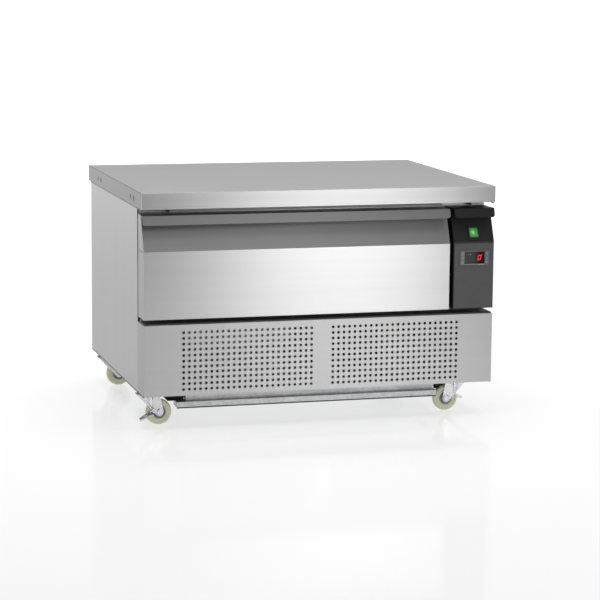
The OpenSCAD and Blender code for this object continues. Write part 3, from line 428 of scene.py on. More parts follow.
# %% Light in the rocker
lit = Finish("rocker_green", (0.02, 0.1, 0.03), 0.25)
lamp_place = (0.3922, -0.3465, 0.4665)
glow_reach = 0.017
from_lamp = lit.nodes.new("ShaderNodeVectorMath")
from_lamp.operation = "DISTANCE"
from_lamp.inputs[1].default_value = lamp_place
lit.links.new(lit.place, from_lamp.inputs[0])
falloff = lit.nodes.new("ShaderNodeValToRGB")
lit.links.new(lit.spread(from_lamp.outputs["Value"], 0, 1, 0.0, glow_reach), falloff.inputs["Fac"])
fill_ramp(falloff, ((0.0, (0.45, 1.0, 0.25)), (0.16, (0.27, 0.75, 0.18)), (0.34, (0.08, 0.32, 0.08)),
                    (0.6, (0.035, 0.16, 0.045)), (1.0, (0.02, 0.08, 0.03))))
lit.links.new(falloff.outputs["Color"], lit.shader.inputs["Emission Color"])
lit.set("Emission Strength", 0.9)
lit.bump(lit.noise((500, 500, 500)), 0.00002, 0.2)
print("finishes:", len(finishes))

# %% [markdown]
# Which solid has which finish follows the list of pieces. Pieces that need more than a finish are
# rebuilt further down.

# %% Finish of each solid
wearing = {
    "steel_front": "front_frame drawer_front_skin drawer_frame drawer_divider",
    "steel_panel": "grille_panel",
    "steel_top": "worktop",
    "steel_side": "side_panel_left side_panel_right",
    "steel_inside_and_highlight": "inner_liner drawer_front_liner evaporator_cover",
    "zinc_sheet": "back_panel base_frame unit_tray condenser_shroud condenser_fan_motor "
    "evaporator_fan_motor",
    "zinc_plate": "panel_screws runner_outer runner_middle runner_inner castor_plates "
    "castor_fork_front_left castor_fork_front_right castor_fork_rear_left castor_fork_rear_right "
    "brake_pedal_left brake_pedal_right",
    "board": "worktop_core",
    "foam": "insulation_foam drawer_front_foam",
    "cover_black": "mullion_trim control_cover cable_gland",
    "fascia_grey": "control_fascia",
    "bezel_black": "switch_frame",
    "bezel_grey": "thermostat",
    "key_face": "key_left_top key_left_middle key_left_bottom",
    "key_cool": "key_right_top key_right_middle key_right_bottom",
    "window_dark": "thermostat_window",
    "rocker_green": "switch_rocker",
    "compressor_black": "compressor",
    "rubber": "compressor_feet drawer_seal",
    "aluminium": "condenser_coil condenser_fan_blade evaporator_coil",
    "fan_black": "evaporator_fan_blade",
    "copper": "refrigerant_pipes",
    "pale_plastic": "evaporation_tray drain_tube",
    "box_grey": "electrical_box",
    "tyre_cream": "castor_wheel_front_left castor_wheel_front_right castor_wheel_rear_left "
    "castor_wheel_rear_right",
}
finish_of = {node: name for name, group in wearing.items() for node in group.split()}
for node, solid in solids.items():
    solid.data.materials.clear()
    solid.data.materials.append(finishes[finish_of[node]].material)
print("dressed:", len(finish_of))

# %% [markdown]
# Real edges are never sharp. Folded sheet turns on a small radius and a moulding's corners are rounded, and
# both catch a thin line of light. CAD leaves them sharp, so each solid that shows is copied here and its
# outer edges get a radius. A bevel modifier on the CAD piece could do the same, but a copy lets the flat
# triangles be merged first, which keeps the rounding clean.

# %% Copies with eased edges
shown_as = {}


def new_piece(name, shape, finish, body="cabinet", crease=40):
    mesh = bpy.data.meshes.new(name)
    bmesh.ops.recalc_face_normals(shape, faces=shape.faces)
    shape.to_mesh(mesh)
    shape.free()
    if crease:
        mesh.shade_smooth()
        mesh.set_sharp_from_angle(angle=math.radians(crease))
    mesh.materials.append(finishes[finish].material)
    piece = bpy.data.objects.new(name, mesh)
    scene.collection.objects.link(piece)
    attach(piece, body)
    return piece


def keep_flats(piece):
    weights = piece.modifiers.new("flat faces stay flat", "WEIGHTED_NORMAL")
    weights.keep_sharp = True
    return piece


body_groups = frame["record"]["behaviour"]["bodies"]
body_of_node = {node: body for body, group in body_groups.items() for node in group}


def eased(node, radius, rings=2, shortest=0.0, corner=35):
    shape = bmesh.new()
    shape.from_mesh(solids[node].data)
    bmesh.ops.remove_doubles(shape, verts=shape.verts, dist=0.00001)
    bmesh.ops.dissolve_limit(shape, angle_limit=math.radians(0.5), verts=shape.verts, edges=shape.edges)
    outer = []
    for face in shape.faces:
        face.smooth = True
    for edge in shape.edges:
        turn_here = math.degrees(edge.calc_face_angle_signed(0)) if edge.is_manifold else 90
        if turn_here > corner and edge.calc_length() > shortest:
            outer.append(edge)
        edge.smooth = abs(turn_here) < 16
    bmesh.ops.bevel(shape, geom=outer, offset=radius, segments=rings, profile=0.5,
                    affect="EDGES", clamp_overlap=True)
    piece = keep_flats(new_piece(node + "_shown", shape, finish_of[node], body_of_node[node], None))
    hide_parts(node)
    shown_as[node] = piece
    return piece


# %% [markdown]
# A cut edge gets about half a millimetre and a fold about one, which is its bending radius. The worktop's
# hems are rounder. Edges of a few millimetres are left alone, or the roundings would pile up in the
# corners. The moulded cover and the keys are softer, with three steps round each edge.

# %% Eased sheets and mouldings
mm = 0.001
sheets = (
    ("worktop", 1.9, 6), ("side_panel_left", 0.9, 6), ("side_panel_right", 0.9, 6),
    ("front_frame", 0.5, 3), ("grille_panel", 0.45, 12), ("drawer_front_skin", 0.9, 1.5),
    ("mullion_trim", 0.8, 3), ("control_fascia", 0.6, 3), ("unit_tray", 0.45, 6),
    ("evaporation_tray", 0.7, 3), ("drawer_divider", 0.4, 3),
)
for node, radius, shortest in sheets:
    eased(node, radius * mm, 2, shortest * mm, corner=20)
eased("control_cover", 1.6 * mm, 3, 1.5 * mm, corner=20)
eased("thermostat", 0.7 * mm, 3, 0.5 * mm)
for side in ("left", "right"):
    for row in ("top", "middle", "bottom"):
        eased(f"key_{side}_{row}", 0.5 * mm, 3)
print("eased:", len(shown_as))

# %% [markdown]
# A folded sheet gets a grey for each way that it faces, as painted light and shade. The polygons know their
# own direction, so the ends, the folds and the grip slant are picked by it. The worktop's top folds and the
# back of the drawer's lip get painted shade, and the worktop's front corners a painted highlight. The hole
# walls of the grille are
# picked by size: they are the smallest faces that don't face forward, and they get painted shade, to look as
# dark as holes in thin sheet do.

# %% Finish of single faces
def add_finishes(node, *names):
    mesh = shown_as[node].data
    for name in names:
        mesh.materials.append(finishes[name].material)
    return mesh.polygons


ends, shade_faces, highlight_corners = 1, 2, 3
for face in add_finishes("worktop", "steel_lip_shaded", "steel_shade_and_marks", "steel_inside_and_highlight"):
    way = face.normal
    face.material_index = ends if abs(way.x) > 0.95 else 0
    # Painted shade: the folds between the top and the sides get the darkest steel.
    if abs(way.x) > 0.2 and way.z > 0.2:
        face.material_index = shade_faces
    # Painted highlight: the front corners get the bright inside steel.
    if abs(way.x) > 0.2 and way.y < -0.2:
        face.material_index = highlight_corners
grip = 3
grip_from = 0.5
hole_wall = 3 * mm * mm
for node in ("drawer_front_skin", "grille_panel"):
    for face in add_finishes(node, "steel_return", "steel_shade_and_marks", "steel_grip_shaded"):
        way = face.normal
        if abs(way.x) > 0.7:
            face.material_index = ends
        # Painted shade: the grille's hole walls get the darkest steel.
        if node == "grille_panel" and face.area < hole_wall and abs(way.y) < 0.2:
            face.material_index = shade_faces
        # Painted shade: the back of the drawer's lip gets the darkest steel, the rest of the grip a shaded
        # grey.
        if node == "drawer_front_skin" and face.center.z > grip_from and abs(way.x) < 0.7:
            face.material_index = shade_faces if way.y > 0.3 else grip
print("sheets with more than one finish:", 3)

# %% [markdown]
# Most small parts are turned, bent from tube, or cut from plate, and the next cells make those forms from
# the few numbers that a drawing would give. A turned part is a half profile of radius and height that goes
# round an axis. Blender's screw modifier does the same, but code can join many of them in one mesh.

# %% Turned forms
def bridge(shape, rings):
    for one, two in zip(rings, rings[1:]):
        count = max(len(one), len(two))
        for k in range(count):
            n = (k + 1) % count
            corners = (one[k % len(one)], one[n % len(one)], two[n % len(two)], two[k % len(two)])
            face = list(dict.fromkeys(corners))
            if len(face) > 2:
                shape.faces.new(face)


def in_mm(pairs):
    return [(first * mm, second * mm) for first, second in pairs]


def add_turned(shape, profile, place, way=(0, 0, 1), sides=48, closed=False):
    spot = Matrix.Translation(place) @ Vector(way).to_track_quat("Z", "Y").to_matrix().to_4x4()
    rings = []
    for radius, height in profile:
        if radius == 0:
            rings.append([shape.verts.new(spot @ Vector((0, 0, height)))])
            continue
        steps = [2 * math.pi * k / sides for k in range(sides)]
        rings.append([shape.verts.new(spot @ Vector((radius * math.cos(a), radius * math.sin(a), height)))
                      for a in steps])
    if closed:
        rings.append(rings[0])
    bridge(shape, rings)


# %% [markdown]
# A bent tube is a path with its corners rounded to the bending radius, and a ring of points carried along
# it. The ring turns no more than the path does, so the tube doesn't twist. A curve object with a bevel
# would be shorter to write, but its corners can't be joined with other forms in one mesh.

# %% Bent tubes
def rounded(points, radius, steps=4):
    points = [Vector(point) for point in points]
    smooth = [points[0]]
    for before, corner, after in zip(points, points[1:], points[2:]):
        back_way, on_way = before - corner, after - corner
        reach_here = min(radius, back_way.length * 0.49, on_way.length * 0.49)
        start = corner + back_way.normalized() * reach_here
        end = corner + on_way.normalized() * reach_here
        for k in range(steps + 1):
            t = k / steps
            smooth.append(start * (1 - t) ** 2 + corner * 2 * t * (1 - t) + end * t * t)
    smooth.append(points[-1])
    return smooth


def add_tube(shape, path, radius, sides=14, capped=True):
    path = [Vector(point) for point in path]
    side = None
    rings = []
    for k, spot in enumerate(path):
        ahead = (path[min(k + 1, len(path) - 1)] - path[max(k - 1, 0)]).normalized()
        side = ahead.orthogonal() if side is None else side - ahead * side.dot(ahead)
        side.normalize()
        up = ahead.cross(side)
        steps = [2 * math.pi * n / sides for n in range(sides)]
        rings.append([shape.verts.new(spot + (side * math.cos(a) + up * math.sin(a)) * radius)
                      for a in steps])
    bridge(shape, rings)
    if capped:
        shape.faces.new(rings[0])
        shape.faces.new(rings[-1])


# %% [markdown]
# A moulded bar or pad is a block with every edge eased, and a sheet part is an outline with a thickness. The
# other helpers give an arc of an outline, a place in millimetres, and the middle of a solid.

# %% Blocks, plates and places
def add_block(shape, low, high, ease=0.0, rings=2, spot=None):
    low, high = Vector(low), Vector(high)
    made = bmesh.ops.create_cube(shape, size=1)["verts"]
    place = Matrix.LocRotScale((low + high) / 2, None, high - low)
    bmesh.ops.transform(shape, verts=made, matrix=(spot or Matrix()) @ place)
    if ease:
        edges = list({edge for vert in made for edge in vert.link_edges})
        bmesh.ops.bevel(shape, geom=edges, offset=ease, segments=rings, profile=0.5, affect="EDGES")


def add_plate(shape, outline, spot, thickness, ease=0.0):
    near = [shape.verts.new(spot @ Vector((x, y, 0))) for x, y in outline]
    far = [shape.verts.new(spot @ Vector((x, y, thickness))) for x, y in outline]
    shape.faces.new(near)
    shape.faces.new(far)
    count = len(outline)
    for k in range(count):
        n = (k + 1) % count
        shape.faces.new((near[k], near[n], far[n], far[k]))
    if ease:
        rim = [shape.edges.get((ring[k], ring[(k + 1) % count])) for ring in (near, far)
               for k in range(count)]
        bmesh.ops.bevel(shape, geom=rim, offset=ease, segments=2, profile=0.5, affect="EDGES")


def arc(cx, cy, radius, start, end, steps=8):
    return [(cx + radius * math.cos(math.radians(start + (end - start) * k / steps)),
             cy + radius * math.sin(math.radians(start + (end - start) * k / steps)))
            for k in range(steps + 1)]


def place_at(x, y, z):
    return Vector((x, y, z)) * mm


def middle_of(node):
    low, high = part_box(node)
    return (low + high) / 2


print("middle of the worktop:", [round(v, 3) for v in middle_of("worktop")])

# %% [markdown]
# A castor wheel is two mouldings: a grey hub with a bearing in it, and a cream tyre cast round it. The
# tyre's side has a shallow groove where the mould halves met, and its tread is crowned so that it rolls
# easily. Both are turned from half a profile and its mirror image.

# %% Castor wheels
moulded("hub_grey", (0.3, 0.33, 0.37), 0.4)
castors = ("front_left", "front_right", "rear_left", "rear_right")
tyre_profile = ((16.4, 8.4), (17.2, 9.8), (19.6, 10.3), (21.9, 10.1), (22.7, 9.6), (23.5, 10.2),
                (25.6, 11.0), (28.2, 10.4), (30.3, 8.4), (31.4, 5.6), (31.9, 2.4), (32.0, 0))
hub_profile = ((4.3, 10.4), (6.6, 10.4), (7.4, 9.9), (8.0, 7.4), (12.4, 6.8), (13.4, 8.6), (14.2, 9.4),
               (15.6, 9.4), (16.6, 8.6))
spokes = 6


def both_sides(profile):
    half = in_mm(profile)
    return half + [(radius, -height) for radius, height in reversed(half) if height]


for corner in castors:
    node = "castor_wheel_" + corner
    centre = middle_of(node)
    tyre_shape = bmesh.new()
    add_turned(tyre_shape, both_sides(tyre_profile), centre, (0, 1, 0), 96, closed=True)
    cast_tyre = new_piece("tyre_" + corner, tyre_shape, "tyre_cream", "wheel_" + corner, 60)
    hub = bmesh.new()
    add_turned(hub, both_sides(hub_profile), centre, (0, 1, 0), 64, closed=True)
    for spoke in range(spokes):
        around = Matrix.Translation(centre) @ Matrix.Rotation(2 * math.pi * spoke / spokes, 4, "Y")
        for near, far in ((-8.6, -6), (6, 8.6)):
            add_block(hub, place_at(7.2, near, -0.8), place_at(13.6, far, 0.8), 0.3 * mm, 2, around)
    new_piece("hub_" + corner, hub, "hub_grey", "wheel_" + corner, 40)
    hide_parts(node)
print("wheels:", len(castors), "tyre radius", tyre_profile[-1][0], "mm")

# %% [markdown]
# The forks are pressed from zinc-plated sheet. A broad rib is pressed outwards down each cheek, because a
# flat cheek would bend sideways. It shows as a light stripe beside a darker one. The axle is a hexagon
# bolt with a washer under its head.

# %% Castor forks
fork_heading = {"front_left": 1, "front_right": -1, "rear_left": 1, "rear_right": -1}
trail = 27 * mm
axle_height = 32 * mm
cheek_out = 15 * mm


def castor_spot(corner):
    kingpin = middle_of("castor_wheel_" + corner) - Vector((trail * fork_heading[corner], 0, 0))
    half_turn = 0 if fork_heading[corner] > 0 else math.pi
    return Matrix.Translation((kingpin.x, kingpin.y, 0)) @ Matrix.Rotation(half_turn, 4, "Z")


def pressed_rib(shape, spot, side, rise=1.9 * mm):
    foot = ((-4.5, 77), (10.5, 77), (10.5, 44.5), (8, 43), (-4.5, 57.5))
    ridge = ((-1.8, 75), (7.8, 75), (7.8, 48), (7, 47), (-1.8, 57.5))
    lower, upper = (
        [shape.verts.new(spot @ Vector((x * mm, side * out, z * mm))) for x, z in outline]
        for outline, out in ((foot, cheek_out), (ridge, cheek_out + rise))
    )
    bridge(shape, [lower, upper])
    shape.faces.new(upper)
    rim = [shape.edges.get((upper[k], upper[(k + 1) % 5])) for k in range(5)]
    bmesh.ops.bevel(shape, geom=rim, offset=0.8 * mm, segments=3, profile=0.5, affect="EDGES")


washer_profile = ((5, 0), (9, 0), (9, 0.9), (8.7, 1.1), (5, 1.1))
for corner in castors:
    eased("castor_fork_" + corner, 0.5 * mm, 2, 2 * mm)
    spot = castor_spot(corner)
    for side in (-1, 1):
        rib = bmesh.new()
        pressed_rib(rib, spot, side)
        new_piece(f"rib_{corner}_{side + 2}", rib, "zinc_plate", "fork_" + corner, 60)
        washer = bmesh.new()
        place = spot @ Vector((trail, side * cheek_out, axle_height))
        add_turned(washer, in_mm(washer_profile), place, spot.to_3x3() @ Vector((0, side, 0)), 32,
                   closed=True)
        new_piece(f"washer_{corner}_{side + 2}", washer, "zinc_plate", "fork_" + corner)
print("forks dressed:", len(castors))

# %% [markdown]
# A brake pedal is a tongue of pressed steel. It is rounded across so that a shoe can't catch on it, its
# edges are turned down for stiffness, and small ridges across the tip give grip. The arm beside the fork
# carries it on a rivet.

# %% Brake pedals
pedal_spine = ((10, 33.5), (3, 33), (-4, 31), (-11, 27.8), (-17, 23.8), (-21.5, 20.2), (-23.6, 18.2))
pedal_across = ((-15.7, -1.5), (-17, -0.3), (-19.5, 0.3), (-22.8, 0.5), (-26.2, 0.2), (-29, -0.6),
                (-30.3, -2.2), (-30.5, -4.4))
pedal_inner = pedal_across[0][0]
pedal_pivot = Matrix.Translation(place_at(14, 0, 38))
pedal_thick = 1.3 * mm


def raised_spot(spot, lift):
    return spot @ pedal_pivot @ Matrix.Rotation(math.radians(lift), 4, "Y") @ pedal_pivot.inverted()


def pedal_shape(raised):
    shape = bmesh.new()
    spine = rounded([place_at(x, 0, z) for x, z in pedal_spine], 3 * mm, 3)
    skins = []
    for depth in (0, -pedal_thick):
        rows = []
        for k, point in enumerate(spine):
            taper = 1 - 0.34 * max(0, k / (len(spine) - 1) - 0.55) / 0.45
            rows.append([shape.verts.new(raised @ Vector((
                point.x, (pedal_inner + (y - pedal_inner) * taper) * mm, point.z + z * mm + depth)))
                for y, z in pedal_across])
        skins.append(rows)
    for rows in skins:
        for one, two in zip(rows, rows[1:]):
            for k in range(len(pedal_across) - 1):
                shape.faces.new((one[k], one[k + 1], two[k + 1], two[k]))
    upper, under = skins
    for k in range(len(spine) - 1):
        for edge in (0, -1):
            shape.faces.new((upper[k][edge], upper[k + 1][edge], under[k + 1][edge], under[k][edge]))
    for k in range(len(pedal_across) - 1):
        for row in (0, -1):
            shape.faces.new((upper[row][k], upper[row][k + 1], under[row][k + 1], under[row][k]))
    return shape


def pedal_ridges(raised):
    shape = bmesh.new()
    for x, z in ((-8.5, 29.1), (-12.5, 27), (-16, 24.7)):
        add_block(shape, place_at(x - 0.5, -27.8, z - 0.4), place_at(x + 0.5, -19, z + 1.0), 0.3 * mm, 2,
                  raised)
    return shape


for side, corner, lift in (("left", "front_left", 0), ("right", "front_right", 12)):
    eased("brake_pedal_" + side, 0.4 * mm, 2, 1.5 * mm)
    raised = raised_spot(castor_spot(corner), lift)
    new_piece("pedal_tongue_" + side, pedal_shape(raised), "zinc_plate", "pedal_" + side, 50)
    new_piece("pedal_ridges_" + side, pedal_ridges(raised), "zinc_plate", "pedal_" + side, 50)
print("pedal length:", round(pedal_spine[0][0] - pedal_spine[-1][0], 1), "mm")

# %% [markdown]
# The rocker is lit green plastic in a black snap-in frame. It sits on the cover's slant, so its place is
# set up once as a small frame of its own: Y into the face and Z up the slope. The rocker's hinge is known
# from the joint. A bar and a ring are moulded into its halves as the usual on and off marks.

# %% Rocker switch
slant = math.radians(22.7144)
rocker_lean = math.radians(8)
hinge_depth = 3 * mm
hinge = next(j for j in frame["record"]["behaviour"]["joints"] if j["name"] == "switch_tilt")
hinge_spot = Matrix.Translation(hinge["pos_m"]) @ Matrix.Rotation(-slant, 4, "X")
switch_spot = hinge_spot @ Matrix.Translation((0, -hinge_depth, 0))
rocker_spot = hinge_spot @ Matrix.Rotation(-rocker_lean, 4, "X")
eased("switch_rocker", 0.8 * mm, 3, 2 * mm, 12)


def frame_lip(shape, half_w, half_h, width, low, high, ease):
    for one, two in ((-half_w, width - half_w), (half_w - width, half_w)):
        add_block(shape, place_at(one, low, -half_h), place_at(two, high, half_h), ease * mm, 3, switch_spot)
    for one, two in ((-half_h, width - half_h), (half_h - width, half_h)):
        add_block(shape, place_at(-half_w, low, one), place_at(half_w, high, two), ease * mm, 3, switch_spot)


eased("switch_frame", 0.45 * mm, 2, 1.5 * mm)
lip = bmesh.new()
frame_lip(lip, half_w=15.5, half_h=18.5, width=2.4, low=-2.6, high=-1.3, ease=0.5)
new_piece("switch_frame_lip", lip, "bezel_black")

rocker_marks = bmesh.new()
bar_spot = rocker_spot @ Matrix.Rotation(-rocker_lean * 0.9, 4, "X")
add_block(rocker_marks, place_at(-0.7, -6.15, 3.6), place_at(0.7, -5.2, 10), 0.2 * mm, 2, bar_spot)
ring_profile = ((2, -0.4), (3.1, -0.4), (3.1, 0.12), (2, 0.12))
ring_way = (rocker_spot.to_3x3() @ Vector((0, -1, -math.tan(rocker_lean)))).normalized()
add_turned(rocker_marks, in_mm(ring_profile), rocker_spot @ place_at(0, -6.15, -7.2), ring_way, 32,
           closed=True)
new_piece("rocker_marks", rocker_marks, "mark_white", "switch")
print("rocker leans:", round(math.degrees(rocker_lean), 1), "degrees at rest")

# %% [markdown]
# The display is a smoked window in a grey bezel. Behind it glow one red figure, drawn from slanted bars as
# on a real segment display, and two small lamps. The figure lies just under the window's front, so that it
# shows. A text object would need a font, and bars are what such a display really has.

# %% Display
bezel_low, bezel_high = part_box("thermostat")
bezel_middle = (bezel_low + bezel_high) / 2
dial = Matrix.Translation((bezel_middle.x, bezel_low.y, bezel_middle.z))
figure_front = 0.12
eased("thermostat_window", 0.3 * mm, 2, 1 * mm)


def add_bar(shape, start, end, thick, front, depth=0.3):
    a, b = Vector(start), Vector(end)
    along = (b - a).normalized()
    across = Vector((-along.y, along.x)) * thick / 2
    tip = along * thick / 2
    outline = [a + across + tip * 0.1, b + across - tip * 0.1, b + tip, b - across - tip * 0.1,
               a - across + tip * 0.1, a - tip]
    lower = [shape.verts.new(dial @ place_at(p.x, front, p.y)) for p in outline]
    upper = [shape.verts.new(dial @ place_at(p.x, front - depth, p.y)) for p in outline]
    bridge(shape, [lower, upper])
    shape.faces.new(upper)
    shape.faces.new(lower)


def segment_digit(shape, cx, cz, width, height, thick, lean=0.16, gap=0.12):
    def at(x, z):
        return (cx + x * width / 2 + z * height / 2 * lean, cz + z * height / 2)

    bars = ((at(-1 + gap, 1), at(1 - gap, 1)), (at(1, 1 - gap), at(1, gap)), (at(1, -gap), at(1, -1 + gap)),
            (at(-1 + gap, -1), at(1 - gap, -1)), (at(-1, -gap), at(-1, -1 + gap)),
            (at(-1, 1 - gap), at(-1, gap)))
    for start, end in bars:
        add_bar(shape, start, end, thick, figure_front)


figure = bmesh.new()
segment_digit(figure, 12.4, 0.4, width=6.6, height=11.2, thick=2.3)
add_bar(figure, (17.9, 5.9), (19.4, 8.8), 1.6, figure_front)
new_piece("display_figure", figure, "digit_red")
dim = Finish("lamp_dim", (0.16, 0.2, 0.08), 0.4)
dim.bump(dim.noise((400, 400, 400)), 0.00001, 0.2)
for name, x, finish in (("lamp_left", -16.4, "lamp_dim"), ("lamp_right", -11.6, "lamp_amber")):
    small_lamp = bmesh.new()
    add_block(small_lamp, place_at(x - 1.3, -0.18, 7.7), place_at(x + 1.3, 0.2, 9.8), 0.2 * mm, 2, dial)
    new_piece(name, small_lamp, finish)
print("display at", [round(v, 4) for v in dial.translation])

# %% [markdown]
# The keys have printed icons: arrows, a square, a star for defrosting, a lamp and a drop. Each is a few
# short strokes from the key's middle, given by their two ends. They are only just proud of the keys, so
# that they stay clear of the foil when a key is pressed.

# %% Key icons
moulded("icon_pale", (0.52, 0.52, 0.53), 0.45)
strokes = {
    "up": ((-1.9, -1, 0, 1.4), (1.9, -1, 0, 1.4), (-1.9, -1, 1.9, -1)),
    "down": ((-1.9, 1, 0, -1.4), (1.9, 1, 0, -1.4), (-1.9, 1, 1.9, 1)),
    "square": ((-1.7, -1.7, 1.7, -1.7), (-1.7, 1.7, 1.7, 1.7), (-1.7, -1.7, -1.7, 1.7),
               (1.7, -1.7, 1.7, 1.7)),
    "star": ((-2, 0, 2, 0), (-1, -1.8, 1, 1.8), (-1, 1.8, 1, -1.8)),
    "lamp": ((-1.2, 0.4, 0, 1.8), (1.2, 0.4, 0, 1.8), (-1.2, 0.4, 0, -1), (1.2, 0.4, 0, -1),
             (-0.9, -1.9, 0.9, -1.9)),
    "drop": ((0, 0.3, 0, 2.1), (-1.7, 0.6, -1.7, -1), (1.7, 0.6, 1.7, -1), (-1.7, -1, 0, -1.9),
             (1.7, -1, 0, -1.9)),
}
icons = (("left", "top", "up"), ("left", "middle", "down"), ("left", "bottom", "square"),
         ("right", "top", "star"), ("right", "middle", "lamp"), ("right", "bottom", "drop"))
for side, row, kind in icons:
    key = (middle_of(f"key_{side}_{row}") - dial.translation) / mm
    icon = bmesh.new()
    for x0, z0, x1, z1 in strokes[kind]:
        add_bar(icon, (key.x + x0, key.z + z0), (key.x + x1, key.z + z1), 0.8, front=-0.45, depth=0.08)
    new_piece(f"icon_{side}_{row}", icon, "icon_pale", f"key_{side}_{row}")
print("icons:", len(icons))

# %% [markdown]
# A printed foil lies round the keys with a window for each of them, and the bezel's lower edge is a thin
# silver rim. The foil is built as a ladder of bars, because a key has to pass through each window.

# %% Key foils and rim
for side, x, finish in (("left", -32.2, "key_face"), ("right", 32.2, "key_cool")):
    foil = bmesh.new()
    bars = [(x - 5.4, x - 4.8, -17.3, 16.4), (x + 4.8, x + 5.4, -17.3, 16.4)]
    bars += [(x - 4.8, x + 4.8, low, high)
             for low, high in ((-17.3, -15.2), (-6.0, -4.6), (4.6, 6.0), (15.2, 16.4))]
    for x0, x1, z0, z1 in bars:
        add_block(foil, place_at(x0, -0.14, z0), place_at(x1, 0.1, z1), 0.08 * mm, 1, dial)
    new_piece(f"key_foil_{side}", foil, finish)
silver_rim = bmesh.new()
for low, high in (((11, -0.3, -17.6), (26.4, 0.1, -15.6)), ((-26, -0.15, -16.6), (11, 0.1, -15.6))):
    add_block(silver_rim, place_at(*low), place_at(*high), 0.15 * mm, 2, dial)
new_piece("thermostat_rim", silver_rim, "icon_pale")
print("foil bars on each side:", len(bars))

# %% [markdown]
# Dark strips at the joints between the sheets are painted shade. One fills the gap under the worktop, another
# lies on the grille panel's top edge, a thin dark tube runs under the worktop's side hems, and strips lie
# along the side panels' feet and under the tray's front edge. Each is placed by a corner of the sheet that it
# sits on, with its distance in millimetres, so it follows that sheet.

# %% Painted shade strips
left = front = bottom = 0
right = rear = top = 1


def corner_of(node, side, depth, level, x=0.0, y=0.0, z=0.0):
    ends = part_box(node)
    return Vector((ends[side].x, ends[depth].y, ends[level].z)) + place_at(x, y, z)


# Painted shade: each dark strip below stands for shade at a joint.
joints = bmesh.new()
add_block(joints, corner_of("front_frame", left, front, top, 1.2, -2.8, -7.5),
          corner_of("front_frame", right, front, top, -1.2, -0.2, -0.4), 0.4 * mm, 2)
add_block(joints, corner_of("grille_panel", left, front, top, 2.6, 2.2, -0.2),
          corner_of("grille_panel", right, rear, top, -2.6, -7.5, 3.2), 0.5 * mm, 2)
for side, inward in ((left, 3.6), (right, -3.6)):
    start = corner_of("worktop", side, front, bottom, inward, 5, -1.8)
    add_tube(joints, [start + place_at(0, y, 0) for y in (0, 230, 460, 678)], 1.8 * mm, 10)
for node, side, x0, x1 in (("side_panel_left", left, -0.2, 1.9), ("side_panel_right", right, -1.9, 0.2)):
    add_block(joints, corner_of(node, side, front, bottom, x0, -70, -2.8),
              corner_of(node, side, rear, bottom, x1, -1.8, 0.6), 0.4 * mm, 2)
add_block(joints, corner_of("unit_tray", left, front, bottom, 0.5, 0, -3.2),
          corner_of("unit_tray", right, front, bottom, -13.7, 2.4, 0.2), 0.4 * mm, 2)
new_piece("painted_shade_strips", joints, "stop_rubber_and_shade")
print("strip under the worktop at", round(corner_of("front_frame", left, front, top, 0, 0, -7.5).z, 4), "m")

# %% [markdown]
# Two thin beads of pale grey lie on the frame above the drawer and one in the gap under it. They are painted
# highlights, standing for the lines of reflected light there. A bead is rounder than a strip, so it catches a
# line of light.

# %% Painted highlight beads on the frame
# Painted highlight: each pale bead stands for a line of reflected light.
beads = bmesh.new()
add_block(beads, corner_of("front_frame", left, front, top, 2.3, -5.8, -13.4),
          corner_of("front_frame", right, front, top, -110.8, -3, -8.8), 0.8 * mm, 3)
add_block(beads, corner_of("front_frame", left, front, top, 2.3, -5.8, -5.2),
          corner_of("front_frame", left, front, top, 65.3, -3, -1.8), 0.8 * mm, 3)
start = corner_of("front_frame", left, front, bottom, 2.3, -19.5, 3.5)
add_tube(beads, [start + place_at(x, 0, 0) for x in (0, 382.5, 769)], 2.3 * mm, 14)
new_piece("painted_highlight_beads", beads, "highlight_grey", crease=50)
print("lower bead at", round(start.z, 4), "m")

# %% [markdown]
# Rubber stops keep the drawer off the frame. Each has a screw, and pale clips hold the frame's profile at
# the left end.

# %% Drawer stops and clips
stop_screw = ((0, -2), (3.4, -2), (3.4, 1), (2.4, 2.2), (0, 2.2))
stop_back = corner_of("front_frame", left, front, top, 0, -2.6, 0).y / mm
stop_places = ((-374.5, -298.5, 533.5), (400.5, -298.5, 533.5), (-374.5, -300, 268.5), (3.5, -300, 267.5))
stops = bmesh.new()
for x, y, z in stop_places:
    add_block(stops, place_at(x - 2.7, y, z - 5.5), place_at(x + 2.7, stop_back, z + 5.8), 0.9 * mm, 3)
    add_turned(stops, in_mm(stop_screw), place_at(x, y, z), (0, -1, 0), 24)
new_piece("drawer_stops", stops, "stop_rubber_and_shade", crease=30)
clips = bmesh.new()
for x, y, z in ((-380.8, -279.8, 536.5), (-380.8, -297.5, 266.5)):
    add_block(clips, place_at(x - 2, y - 1, z - 2.2), place_at(x + 2, y + 2, z + 2.2), 0.6 * mm, 3)
new_piece("stop_clips", clips, "pale_plastic", crease=30)
print("drawer stops:", len(stop_places))

# %% [markdown]
# The worktop's sides show the marks of the welds behind them, in pairs, and the drawer's ends show the seam
# where the slant is folded on. Both are only a few hundredths of a millimetre proud. Under the machine
# space two black channels stand in the openings beside the tray as painted shade.

# %% Weld marks, seams and painted shade channels
weld_places = (92, 132, 522, 562)
marks = bmesh.new()
for y in weld_places:
    for side in (left, right):
        for start in (y - 5.5, y + 1.5):
            add_block(marks, corner_of("worktop", side, front, bottom, -0.03, start, 12.5),
                      corner_of("worktop", side, front, bottom, 0.03, start + 4, 24.5))
new_piece("weld_marks", marks, "steel_shade_and_marks")
seam = bmesh.new()
for side in (left, right):
    add_block(seam, corner_of("drawer_front_skin", side, front, bottom, -0.05, 0.8, 164.5),
              corner_of("drawer_front_skin", side, front, bottom, 0.05, 53, 165.3), 0.02 * mm, 1)
new_piece("drawer_seams", seam, "steel_shade_and_marks", "drawer")

